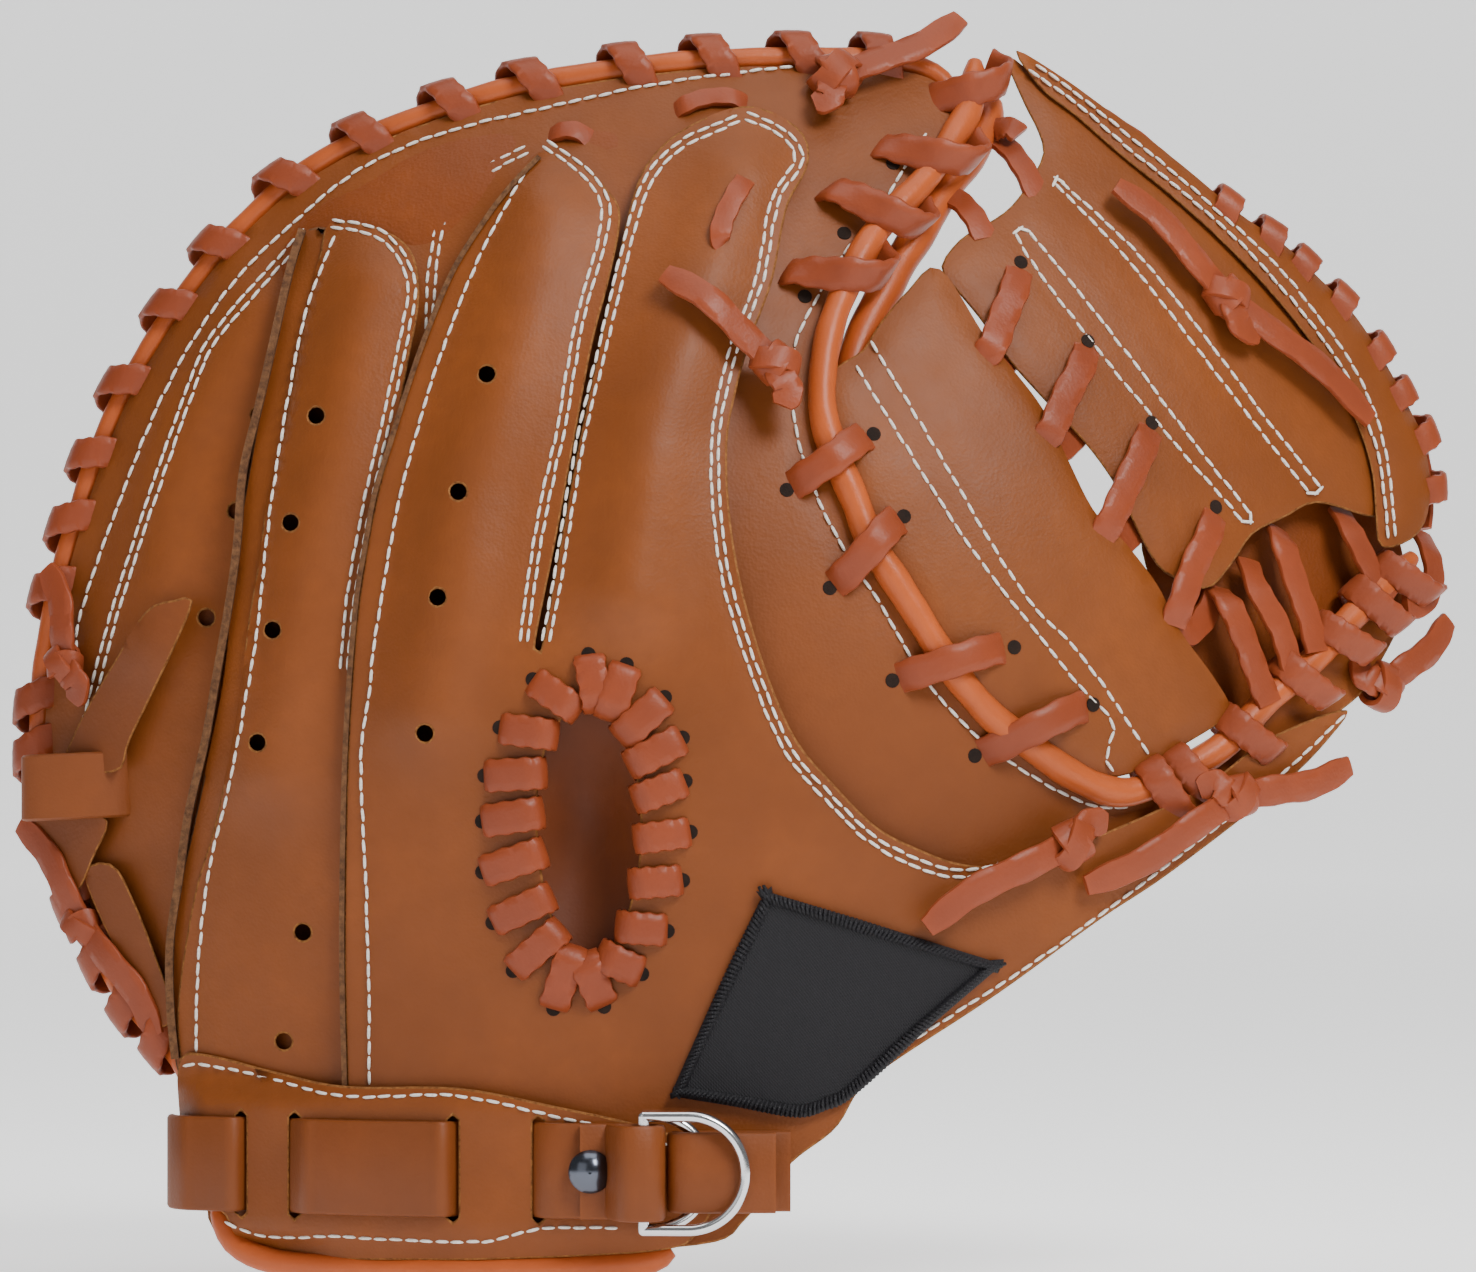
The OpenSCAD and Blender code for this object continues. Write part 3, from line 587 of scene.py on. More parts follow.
def satin(name, rgb, rgb2):
    """Black satin weave: fine crossing threads."""
    s = Shader(name)
    warp = s.node("ShaderNodeTexWave", Scale=900.0, bands_direction="DIAGONAL")
    weft = s.node("ShaderNodeTexWave", Scale=620.0, bands_direction="X")
    for w in (warp, weft):
        s.link(s.coord, w.inputs["Vector"])
    s.link(s.blend(warp.outputs["Fac"], linear(rgb), linear(rgb2)), s.bsdf.inputs["Base Color"])
    normal = s.bump(warp.outputs["Fac"], 0.35, 0.0002)
    s.link(s.bump(weft.outputs["Fac"], 0.25, 0.0002, normal), s.bsdf.inputs["Normal"])
    s.bsdf.inputs["Roughness"].default_value = 0.5
    s.bsdf.inputs["Specular IOR Level"].default_value = 0.25
    return s.mat


TAN = leather("tan_leather", (122, 62, 19))
PALM_TAN = leather("palm_leather", (122, 58, 16), 0.46, 0.2)
STRAP = leather("strap_leather", (112, 56, 19), 0.5, 0.1)
LINING = leather("lining_leather", (108, 50, 14), 0.55, 0.08, 0.7)
LACE = leather("rawhide_lace", (134, 60, 32), 0.42, 0.1, 0.8, 0.35)
PIPING = leather("orange_piping", (176, 82, 36), 0.38, 0.09, 0.84, 0.3)
EDGE = fibrous("raw_edge", (84, 44, 18), (150, 98, 50))
FELT = fibrous("felt", (60, 36, 22), (112, 76, 48), 700)
THREAD = fibrous("white_thread", (206, 196, 182), (244, 240, 232), 1600)
SATIN = satin("black_satin", (9, 8, 10), (26, 24, 29))
HOLE = fibrous("hole_shadow", (22, 14, 10), (38, 24, 16), 300)
NICKEL = metal("nickel", (214, 214, 216), 0.1)
DARK_NICKEL = metal("dark_nickel", (92, 96, 106), 0.16)


# ---- How the pieces are held: baked in place, or attached to the finger side. ----


def folds(ob, slot, *nodes):
    """The piece's placement is baked into its mesh, and it stands for these CAD nodes."""
    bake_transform(ob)
    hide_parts(*nodes)
    return ob


def rides(ob, slot, *nodes):
    """The piece keeps to the finger side, and stands for these CAD nodes."""
    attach(ob, FINGERS)
    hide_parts(*nodes)
    return ob


# ---- Heights of the layers above the base leather. ----

STRIP_LIFT, RING_LIFT, HAND_LIFT = 2.4, 3.6, 5.4
BAND_EDGE_LIFT, BAND_LIFT = 7.8, 10.4
WEB_INNER_LIFT, WEB_LIFT = 2.6, 0.4
GROOVE = 0.45


# ---- Seam lines. ----

RIM_SEAM = [
    (-79, 106), (-81, 118), (-76.5, 134), (-70.5, 150), (-64, 166), (-55.5, 181.5), (-46.5, 193.5),
    (-34, 205.5), (-20.5, 215.5), (-3.5, 222), (14, 226), (34, 230.5), (50.5, 233), (66, 235),
    (80.5, 235.5)
]
LITTLE_SEAM = [
    (-33.5, 201.5), (-45, 188.5), (-53.5, 178), (-58, 167), (-63, 152.5), (-68.5, 136.5), (-73, 122.5),
    (-76.5, 110), (-79, 100)
]
RING_EDGE_SEAM = [
    (-28, 200), (-33.5, 184.5), (-37, 166), (-40.5, 142), (-43, 118), (-48, 90.5), (-52.5, 73.5),
    (-55, 54), (-55.5, 34), (-54, 25.5)
]
RING_SEAM = [
    (-29, 202.5), (-18.5, 200), (-13, 193), (-12, 187.5), (-14, 176), (-17.5, 159), (-21.5, 140),
    (-24, 124), (-25, 112)
]
MIDDLE_EDGE_SEAM = [
    (12.5, 215), (4, 200), (-3.5, 182), (-9, 165), (-14, 146), (-18.5, 119.5), (-20, 106),
    (-21.5, 94.5), (-20.5, 68), (-20, 39.5), (-20, -2)
]
MIDDLE_LEFT_SEAM = [(11, 217.5), (-0.5, 211), (-6, 203.5), (-8, 193), (-8.5, 180)]
MIDDLE_SEAM = [
    (14.5, 218.5), (23, 212), (27, 205.5), (26, 197), (22, 182), (18.5, 161), (14.5, 142), (11, 117.5)
]
INDEX_LEFT_SEAM = [
    (54, 223.5), (43, 218.5), (37, 213), (33.5, 205.5), (29.5, 189.5), (26, 174), (22, 156.5),
    (18.5, 134.5), (15.5, 117.5)
]
INDEX_SEAM = [
    (55, 224), (62, 221), (66, 216.5), (65.5, 213.5), (61, 206.5), (58, 190.5), (53.5, 178.5),
    (50.5, 167), (49, 157), (49.5, 142), (52, 127), (57, 111.5), (63, 97), (70.5, 88), (79.5, 79),
    (88.5, 74), (97.5, 71.5), (108, 73)
]
CROTCH_SEAM = [
    (92, 221), (87, 213), (82, 205), (75, 196), (68.5, 185), (65, 177), (64.5, 166), (66, 156),
    (70, 145), (76, 134), (82, 125), (91, 110), (101, 99), (112, 91), (124, 85), (132, 84.5)
]
THUMB_SEAM = [(177, 103), (165.5, 92.5), (144, 76), (126, 63), (111, 52.5), (98, 44.5), (86, 37)]
BAND_TOP_SEAM = [
    (-58.5, 32), (-54, 32.5), (-39.5, 30), (-25, 27), (-2, 27.5), (18, 23.5), (34, 20), (46, 16)
]
BAND_FOOT_SEAM = [(-49.5, 1.5), (-41, -1.5), (-25, -1), (2, -1.5), (15, 1.5), (30, 1.5)]


def groove(lines):
    """A shallow dip along stitched lines, as a share of its full depth."""
    boxes = []
    for line in lines:
        xs, zs = [q[0] for q in line], [q[1] for q in line]
        boxes.append((min(xs) - 4, max(xs) + 4, min(zs) - 4, max(zs) + 4, line))

    def share(x, z):
        best = 0.0
        for x0, x1, z0, z1, line in boxes:
            if x0 < x < x1 and z0 < z < z1:
                best = max(best, math.exp(-(segment_distance(x, z, line) / 1.3) ** 2))
        return best
    return share


def rising(base, lines):
    """A lift that falls slightly along its seams."""
    dip = groove([even(curve(line, 5), 3) for line in lines])
    return lambda x, z: base - GROOVE * dip(x, z)


def double(line, gap=1.5):
    """Two seams side by side."""
    path = even(curve(line, 6), 1.5)
    return [shifted(path, -gap / 2), shifted(path, gap / 2)]


def single(line):
    """One seam."""
    return [even(curve(line, 6), 1.5)]


# ---- The back's leather. ----

FINGER_HOLE = [
    (24, 105.5), (29, 102.5), (32.5, 95), (34.2, 85), (33.8, 73), (31, 62), (27, 55.5), (22.5, 54.8),
    (18, 60), (15, 70), (13.8, 82), (14.6, 93), (18, 101.5)
]
RING_VENTS = [(-31, 163), (-36, 141.5), (-39.5, 120), (-42.5, 97.5), (-33.5, 59.5)]
FELT_VENT = [(-37.5, 37.5)]
MIDDLE_VENTS = [(3.5, 171), (-2, 147.5), (-6, 126.5), (-8.5, 99.5)]
LITTLE_VENTS = [(-43, 163.5), (-47.5, 144), (-53.5, 122.5)]
VENT_RADIUS = 1.7
HOLE_X, HOLE_Z = 24.0, 80.0


def round_hole(q, r=VENT_RADIUS):
    """A punched vent hole's outline."""
    return [(q[0] + r * math.cos(math.tau * k / 12), q[1] + r * math.sin(math.tau * k / 12))
            for k in range(12)]


BASE_LINE = [
    (-54, 6), (-58, 30), (-70.5, 49), (-84.5, 79), (-87.5, 101), (-82.5, 133), (-68, 172),
    (-40, 207.5), (-5, 225), (34, 233), (69, 235), (90, 233.5), (98, 228), (98, 223), (94.6, 216.8),
    (89.6, 209.2), (81.2, 197.3), (72.3, 183), (69.1, 172.8), (69.1, 163.3), (71.4, 153.6),
    (75.7, 143.7), (80.2, 134.7), (87.2, 121.9), (96.1, 108.1), (104, 100.2), (112.8, 93.4),
    (121.6, 88.4), (129, 86), (137, 87.4), (150.4, 94.2), (161.2, 104.2), (171.2, 112.2),
    (177.2, 119.2), (183.4, 125.2), (189, 128), (191, 125), (184, 112), (177, 104), (147, 86),
    (127, 77), (108, 71), (86, 66), (58, 46), (46, 10), (-25, -3), (-50, -2)
]
STRIP_LINE = [
    (-35.5, 199), (-38.5, 184.5), (-42.5, 166), (-46.5, 142), (-47.5, 134), (-49.5, 111.5), (-53, 94),
    (-56, 81), (-59, 68), (-60.5, 55.5), (-60, 32), (-53, 24.5), (-51.5, 31), (-54, 46), (-53, 66),
    (-46, 106), (-41, 130), (-39, 146), (-35, 166), (-31, 184), (-27, 199), (-29.5, 201.5),
    (-33, 201.5)
]
RING_LINE = [
    (-29, 202.5), (-18.5, 201), (-12, 196), (-10.5, 186), (-12.5, 174), (-15, 158), (-17.5, 140),
    (-18.5, 122), (-16.5, 108), (-15, 86), (-15, 26), (-15, 16), (-34, 10), (-54, 14), (-57.5, 22),
    (-58.5, 30), (-59.5, 44), (-56, 66), (-51.5, 81), (-47, 102), (-44.5, 122), (-42.5, 134),
    (-41, 146), (-37.5, 161), (-34, 182), (-31, 196)
]
HAND_LINE = [
    (-24, -3), (-24.5, 28), (-25, 55.5), (-24.5, 87), (-23.5, 108), (-22, 126), (-18.5, 147),
    (-13, 167), (-9, 180), (-3.5, 193), (3, 203.5), (8.5, 211), (13.5, 216.5), (18, 216), (22, 214),
    (27, 209), (30, 203.5), (28, 191), (24.5, 177), (21, 157.5), (17.5, 138), (13.5, 118), (14, 116),
    (15, 118), (18.5, 138), (22, 157.5), (26, 177), (29, 191), (32, 205.5), (35.5, 214.5), (43, 221.5),
    (54.5, 226), (63, 223.5), (67.5, 219), (67.5, 213), (63.5, 205), (60.5, 190), (56, 177.5),
    (53, 166.5), (51.5, 157), (52, 143), (54.5, 128), (59, 112.5), (65, 98.5), (72.5, 89.5), (81, 81),
    (89.5, 76.5), (98, 73.5), (108, 73.5), (127, 79.5), (147, 88.5), (160.5, 98), (177, 104),
    (174, 98.5), (163, 88), (140, 71), (126, 62), (105.5, 47.5), (86, 35), (78, 29), (73, 21),
    (64, 14), (55, 3), (46, -2), (6, -4)
]
BAND_LINE = [
    (-59, 33.5), (-53, 34.5), (-39.5, 31.5), (-25, 29), (-2, 29), (18, 25.5), (34, 22), (46.5, 17.5),
    (50, 10), (46, 1), (38, -3), (6, -5), (-14, -5.5), (-34, -5.5), (-46, -2.5), (-50, 3.5), (-57, 7),
    (-59, 22)
]
STRAP_Z, STRAP_HALF = 13.0, 9.5
SLOTS = (-46, -35, -3, 14)


def hole_line(grow=0.0):
    """The finger hole's outline, grown by about grow."""
    return [(HOLE_X + (x - HOLE_X) * (1 + grow / 11), HOLE_Z + (z - HOLE_Z) * (1 + grow / 26))
            for x, z in FINGER_HOLE]


def band_lift(x, z):
    """The wrist band stands clear of the strap that runs under it."""
    top = smooth((STRAP_Z + STRAP_HALF + 9 - z) / 7)
    foot = smooth((z - (STRAP_Z - STRAP_HALF - 8)) / 6)
    ends = smooth((x + 60) / 6) * smooth((49 - x) / 10)
    edge = mix(5.2, BAND_EDGE_LIFT, smooth((x + 40) / 20))
    return mix(edge, BAND_LIFT, top * foot * ends)


def slot_hole(x):
    """An upright slot that the wrist strap passes through."""
    w, top, foot = 1.1, STRAP_Z + STRAP_HALF + 1.2, STRAP_Z - STRAP_HALF - 1.2
    return [(x - w, foot + 1), (x, foot), (x + w, foot + 1), (x + w, STRAP_Z), (x + w, top - 1),
            (x, top), (x - w, top - 1), (x - w, STRAP_Z)]


def build_back():
    """The back's leather, from the lowest layer up."""
    vents = [round_hole(q, 3.0) for q in RING_VENTS + MIDDLE_VENTS]
    vents += [round_hole(q) for q in LITTLE_VENTS]
    base = panel("back_base_leather", BASE_LINE, rising(0, [RIM_SEAM, CROTCH_SEAM, LITTLE_SEAM]),
                 [TAN, EDGE], step=2.4, holes=[hole_line(2.6)], vents=vents)
    folds(base, "shell_leather", "back_rim_panel", "little_finger_panel", "crotch_panel",
          "thumb_crotch_panel")
    strip = panel("ring_finger_facing", STRIP_LINE, STRIP_LIFT, [TAN, FELT], t=2.3, step=1.8)
    rides(strip, "shell_leather")
    ring = panel("ring_finger_leather", RING_LINE, rising(RING_LIFT, [RING_EDGE_SEAM, RING_SEAM]),
                 [TAN, EDGE], step=2.0, vents=[round_hole(q) for q in RING_VENTS + FELT_VENT])
    rides(ring, "shell_leather", "ring_finger_panel")
    seams = [MIDDLE_EDGE_SEAM, MIDDLE_SEAM, INDEX_LEFT_SEAM, INDEX_SEAM, THUMB_SEAM]
    hand = panel("hand_back_leather", HAND_LINE, rising(HAND_LIFT, seams), [TAN, EDGE], step=2.0,
                 holes=[hole_line()], vents=[round_hole(q) for q in MIDDLE_VENTS])
    folds(hand, "shell_leather", "hand_back_panel", "thumb_back_panel")
    band = panel("wrist_band_leather", BAND_LINE, band_lift, [TAN, EDGE], step=2.0,
                 vents=[slot_hole(x) for x in SLOTS])
    folds(band, "shell_leather", "wrist_band")


def build_back_stitches():
    """Every row of stitching on the back, at its own layer's height."""
    rows = [(single(RIM_SEAM) + single(CROTCH_SEAM) + double(LITTLE_SEAM), 0.0),
            (single(RING_EDGE_SEAM) + double(RING_SEAM), RING_LIFT - 0.2),
            (double(MIDDLE_LEFT_SEAM), 0.0),
            (single(MIDDLE_EDGE_SEAM) + single(THUMB_SEAM) + double(MIDDLE_SEAM)
             + double(INDEX_LEFT_SEAM) + double(INDEX_SEAM), HAND_LIFT - 0.2),
            (single(BAND_TOP_SEAM) + single(BAND_FOOT_SEAM), band_lift)]
    b = Batch()
    for lines, lift in rows:
        for line in lines:
            stitches(b, line, lift)
    folds(b.build("back_stitches", [THREAD]), None)


def hollow_depth(x, z):
    """The lining behind the finger hole, a soft bulge."""
    d = math.hypot((x - HOLE_X) / 17.5, (z - HOLE_Z) / 34)
    return skin(x, z) - HAND_LIFT + 6 + 9 * (1 - smooth(d))


def build_hole_lining():
    """The lining seen through the finger hole."""
    ob = panel("finger_hole_lining", hole_line(6.5), 0, [LINING, LINING], t=1.6, step=2.2,
               shape=hollow_depth)
    folds(ob, "lining", "index_lining")


# ---- The padded palm. ----

def palm_outline():
    """The palm leather's edge, just inside the rolls."""
    line = curve(RIM[1:], 5) + curve(CROTCH, 5) + curve(THUMB_TOP, 4) + curve(THUMB_EDGE, 5)
    line += curve(HEEL, 4)
    ring = []
    for q in line:
        if not ring or (q - ring[-1]).length > 1.5:
            ring.append(q)
    return even(shifted(ring, 2.6), 3.0, True)


def cushion(ob, voxel, pressure, cap):
    """Inflates a padded piece a little as cloth, and keeps every point within cap of its start."""
    m = ob.modifiers.new("even", "REMESH")
    m.mode, m.voxel_size = "VOXEL", voxel
    apply_modifiers(ob)
    start = [v.co.copy() for v in ob.data.vertices]
    cloth = ob.modifiers.new("cloth", "CLOTH")
    s = cloth.settings
    s.quality, s.mass = 5, 0.3
    s.tension_stiffness = s.compression_stiffness = s.shear_stiffness = 25
    s.bending_stiffness = 0.6
    s.use_pressure, s.uniform_pressure_force = True, pressure
    s.effector_weights.gravity = 0
    scene = bpy.context.scene
    for f in range(1, 15):
        scene.frame_set(f)
    apply_modifiers(ob)
    scene.frame_set(1)
    for v, q in zip(ob.data.vertices, start):
        step = v.co - q
        if step.length > cap:
            v.co = q + step * (cap / step.length)
    m = ob.modifiers.new("round", "SUBSURF")
    m.levels = m.render_levels = 1
    apply_modifiers(ob)
    ob.data.shade_smooth()


def build_palm():
    """The padded palm: leather, felt and lining in one puffed piece."""
    co, tris = plan_mesh(palm_outline(), 4.5)
    ob = thick("padded_palm", co, tris, lining, palm, [PALM_TAN, PALM_TAN], bevel=0)
    cushion(ob, voxel=0.0045, pressure=4.0, cap=0.004)
    folds(ob, "palm_leather", "palm_shell", "palm_pad", "palm_lining", "heel_pad",
          "thumb_palm_shell", "thumb_pad", "thumb_lining")
    return ob


# ---- The web: panels of two leathers each, stitched together round their edges. ----

WEB_INNER_LINE = [
    (78.5, 176), (82, 181.5), (87.5, 188), (94, 193), (103, 179.5), (107.5, 174), (114.5, 165),
    (119, 156), (125, 144), (131, 138), (138, 129), (142.5, 120), (149.5, 110.5), (153, 104),
    (149.5, 100.5), (136, 93), (129, 90.5), (120.5, 92.5), (112, 98.5), (104, 105), (96, 112.5),
    (89, 125), (83.5, 132.5), (79, 140), (76, 148), (72.5, 157.5), (71, 164), (71, 170), (74.5, 173.5)
]
WEB_MAIN_LINE = [
    (108.5, 238), (116, 232.5), (126, 226), (138.5, 215), (151, 203.5), (161.5, 192), (171, 181),
    (179, 169), (183.5, 159), (185, 150), (185, 143), (172, 146), (165, 143), (158, 139.5), (154, 134),
    (149, 128.5), (144, 129.5), (138.5, 132.5), (134, 140), (130, 148.5), (124, 157), (115.5, 166),
    (107.5, 175), (102.5, 182.5), (98, 188), (94.5, 193), (98.5, 199), (103.5, 202), (109.5, 206.5),
    (115.5, 216), (115, 221.5), (112, 228)
]
WEB_EDGE_LINE = [
    (110.5, 239), (120, 233.5), (129, 227), (137.5, 221), (147, 213.5), (156.5, 205.5), (165.5, 199.5),
    (172, 193.5), (180.5, 185), (187, 175), (191, 167.5), (194.5, 160), (196, 151), (195, 143),
    (191.5, 138.5), (185, 137), (184, 144), (183.5, 152), (181, 161), (176, 171.5), (169, 181.5),
    (160.5, 191.5), (151, 201), (142, 209), (131.5, 217.5), (123, 225), (115.5, 231)
]
WEB_SEAMS_INNER = [
    [(80, 178), (92, 158), (110, 128), (119.5, 118), (126, 110), (136, 95)],
    [(77, 173), (87.5, 156), (95, 144), (104, 131), (114.5, 118), (122, 108.5), (129, 101), (127, 95),
     (129, 91.5)],
]
WEB_SEAMS_MAIN = [
    [(118, 211), (133, 195), (148.5, 175), (159.5, 161), (170, 148)],
    [(119, 211.5), (135, 196.5), (151, 176.5), (162, 162), (172.5, 149)],
    [(109.5, 200.5), (115, 191.5), (126, 177), (140, 160), (156, 142)],
    [(112.5, 201), (122.5, 188.5), (136.5, 170.5), (143.5, 161), (157.5, 143.5)],
    [(118, 211), (118.5, 212), (119.5, 211.5)],
    [(109.5, 200.5), (111, 201.5), (112.5, 201)],
    [(170, 148), (171.5, 148), (172.5, 149)],
    [(156, 142), (157.5, 142), (157.5, 143.5)],
]
WEB_SEAMS_EDGE = [
    [(113, 235), (124.5, 226.5), (133, 219), (143.5, 210.5), (153, 202.5), (162, 193.5),
     (170.5, 183.5), (178, 173), (183, 162), (185.5, 152), (186.5, 138.5)],
    [(114.5, 236), (125.5, 228), (134.5, 220.5), (145, 212), (154, 204), (164, 195), (172.5, 184.5),
     (180, 174), (185, 162.5), (187, 152.5), (188, 139)],
]


WEB_EDGE_LIFT = 2.6
WEB_FOOT_LINE = [
    (136, 142), (154, 146), (168, 150), (183, 148), (190, 138), (188.5, 129), (178, 118), (164, 106),
    (152, 100), (143, 108), (138, 126)
]


def web_skin(x, z):
    """Depth of the web's back."""
    y = dome(x, z)
    y += 1.2 * noise.noise(Vector((x * 0.03, 9.2, z * 0.025)))
    # the lower end of the web lifts off the thumb and curls a little
    return y - 2.0 * smooth((x - 140) / 40) * smooth((165 - z) / 40)


def web_piece(name, loop, lift, lines, nodes, fill=5.5):
    """Back leather and palm leather, padded apart in the middle and meeting at the edge."""
    ring = even(curve(loop, 5, True), 2.2, True)
    co, tris = plan_mesh(ring, 2.2)
    rim = ring + [ring[0]]
    dip = groove(lines)
    memo = {}

    def edge(x, z):
        key = (x, z)
        if key not in memo:
            memo[key] = segment_distance(x, z, rim)
        return memo[key]

    def front(x, z):
        roll_off = 1.1 * math.exp(-(edge(x, z) / 2.2) ** 2)
        return web_skin(x, z) - lift + roll_off + GROOVE * dip(x, z)

    def back(x, z):
        return web_skin(x, z) - lift + 2.4 + fill * smooth(edge(x, z) / 12) ** 0.8
    ob = thick(name, co, tris, front, back, [TAN, EDGE])
    return folds(ob, "shell_leather", *nodes)


def build_web():
    """The web's three panels, the leather at its foot and its stitching."""
    batch = Batch()
    inner, main, edge = ([path for line in lines for path in single(line)]
                         for lines in (WEB_SEAMS_INNER, WEB_SEAMS_MAIN, WEB_SEAMS_EDGE))
    web_piece("web_inner_leather", WEB_INNER_LINE, WEB_INNER_LIFT, inner,
              ["web_inner_panel", "thumb_web_inner_panel"])
    web_piece("web_main_leather", WEB_MAIN_LINE, WEB_LIFT, main,
              ["web_main_panel", "web_palm_panel", "thumb_web_main_panel", "thumb_web_palm_panel"])
    web_piece("web_edge_leather", WEB_EDGE_LINE, WEB_EDGE_LIFT, edge,
              ["web_edge_panel", "thumb_web_edge_panel"], 3.0)
    foot = panel("web_foot_leather", WEB_FOOT_LINE, -9.0, [PALM_TAN, EDGE], step=3.0, shape=web_skin)
    folds(foot, "palm_leather")
    for lines, lift in ((inner, WEB_INNER_LIFT), (main, WEB_LIFT), (edge, WEB_EDGE_LIFT)):
        for line in lines:
            stitches(batch, line, lift - 0.3, web_skin)
    folds(batch.build("web_stitches", [THREAD]), None)


# ---- Rolls: leather welts along the edges. ----

CROTCH_ROLL = [
    (102, 236), (101, 227), (97.5, 220.5), (92, 212), (86.5, 206), (80.5, 199), (74, 186), (71, 175),
    (70.5, 164), (73, 155), (77, 145.5), (80, 137.5), (84.5, 130.5), (89, 123.5), (96, 112.5),
    (104, 103), (112.5, 96.5), (120.5, 91), (129, 87.5), (137, 89), (150.5, 96), (161, 106),
    (170.5, 114), (177, 121), (183.5, 127), (188.5, 131.5), (192, 135)
]
CROTCH_UNDER_ROLL = [
    (106, 228), (104, 222.5), (100.5, 216), (95.5, 209), (91, 201.5), (86.5, 194.5), (83, 188),
    (79.5, 181.5), (77, 175.5), (75.5, 168.5)
]
WRIST_ROLL = [
    (-51, 5), (-49.5, 0.5), (-47, -3.5), (-41.5, -6), (-34, -7), (-14, -7.5), (10, -7), (34, -5.5),
    (40.5, -3)
]
RIM_RADIUS, CROTCH_RADIUS, WRIST_RADIUS = 2.4, 2.9, 2.6


def roll(name, plan, depth, radius, nodes):
    """A hand-rolled welt: its thickness wanders a little and its ends narrow."""
    path = even(curve(plan, 6), 2.2)
    pts, sizes = [], []
    for i, q in enumerate(path):
        pts.append(Vector((q.x, dome(q.x, q.y) + depth, q.y)))
        d = 2 * radius * (1 + 0.12 * noise.noise(Vector((i * 0.35, radius, 4.4))))
        sizes.append((d, d))
    for k, cut in enumerate((0.55, 0.82, 0.95)):
        sizes[k] = (sizes[k][0] * cut, sizes[k][1] * cut)
        sizes[-1 - k] = (sizes[-1 - k][0] * cut, sizes[-1 - k][1] * cut)
    made = sweep(pts, ROLL, sizes)
    ob = add_mesh(name, made[0], made[1], [PIPING])
    return folds(ob, "piping", *nodes)


FELT_EDGE = [
    (-35, 200.5), (-37, 193.5), (-40, 179), (-43, 165), (-46, 152), (-47, 138), (-48.5, 126),
    (-51, 111.5), (-53.5, 97.5), (-57, 83), (-59, 70), (-61, 57), (-61, 44), (-60, 33.5)
]


HAND_EDGE = [
    (13, 215), (7.5, 209), (3, 203), (-3.5, 192.5), (-9, 179), (-13, 167), (-16, 157), (-19, 147),
    (-21, 135.5), (-22.5, 126), (-24, 108), (-25, 87), (-25.5, 55.5), (-25, 29)
]


def build_felt_edge():
    """The thick felt that shows along the ring finger's slit, and the hand panel's raw edge."""
    path = even(curve(FELT_EDGE, 6), 2.0)
    wander = [0.5 * noise.noise(Vector((i * 0.2, 0, 5))) for i in range(len(path))]
    pts = [Vector((q.x, skin(q.x, q.y) - STRIP_LIFT - 0.4 + w, q.y)) for q, w in zip(path, wander)]
    verts, faces = sweep(pts, STRAP_SECTION, [(1.7, 4.6)] * len(pts))
    rides(add_mesh("felt_edge", verts, faces, [FELT], sharp=60), "padding")
    pts = on_skin(even(curve(HAND_EDGE, 6), 2.5), HAND_LIFT - 0.8)
    verts, faces = sweep(pts, STRAP_SECTION, [(1.1, 3.2)] * len(pts))
    rides(add_mesh("hand_felt_edge", verts, faces, [FELT], sharp=60), "padding")


def build_rolls():
    """The welts of the rim, the crotch and thumb, and the wrist opening."""
    rim = shifted(even(curve(RIM, 6), 2.0), 2.3)
    roll("rim_welt", rim[::2], 2.2, RIM_RADIUS, ["rim_roll"])
    roll("crotch_welt", CROTCH_ROLL, -1.6, CROTCH_RADIUS, ["crotch_roll", "thumb_roll"])
    roll("crotch_palm_welt", CROTCH_UNDER_ROLL, 6.5, 3.4, [])
    roll("wrist_welt", WRIST_ROLL, -6.0, WRIST_RADIUS, ["wrist_roll"])


# ---- Rawhide laces. ----

RIM_WRAP = [
    (9.6, 1.2), (8.8, -1.2), (6.2, -2.9), (1.5, -4.4), (-1.5, -4.2), (-4.3, -1.9), (-5.1, 1.8),
    (-3.4, 5.0), (0, 7.5), (4, 9)
]
CROTCH_WRAP = [
    (8.6, 2.2), (8.0, -0.6), (5.6, -2.6), (2.6, -4.2), (-0.6, -4.9), (-3.6, -3.2), (-5.0, 0.4),
    (-3.6, 4.4), (0.6, 6.6)
]
LONG_WRAP = [
    (12.6, 2.6), (11.6, 0.0), (8.6, -1.8), (4.0, -3.9), (0.4, -5.0), (-3.8, -3.6), (-6.0, -0.6),
    (-6.4, 3.4), (-2.6, 6.6)
]
WEB_WRAP = [
    (6.0, 1.0), (5.2, -1.6), (2.6, -2.6), (-0.4, -2.4), (-2.4, -0.4), (-2.2, 3.0), (0.4, 6.0),
    (4.0, 7.6)
]
RIM_WRAPS = [
    (-82, 128), (-78.5, 141), (-73, 154), (-67.5, 168.5), (-59, 184), (-50.5, 197), (-37.5, 210.5),
    (-23, 220.5), (-5, 226.5), (12, 230), (31, 234), (48, 237), (66.5, 238.5), (82.5, 239.5),
    (-88.5, 95.5), (-91, 106), (-83.5, 65), (-77, 53), (-70.5, 44), (-64, 35.5)
]
CROTCH_WRAPS = [(101.5, 230.5), (94.5, 216), (86.5, 201), (76, 191)]
THUMB_WRAPS = [
    (139, 88.5), (144.5, 91.5), (155, 100), (167, 111), (176, 119), (183, 125), (189, 130.5)
]
WEB_WRAPS = [
    (154, 208), (162.5, 201), (169.5, 194.5), (177, 186.5), (184, 176.5), (189, 168.5), (193, 159),
    (195.5, 149.5)
]


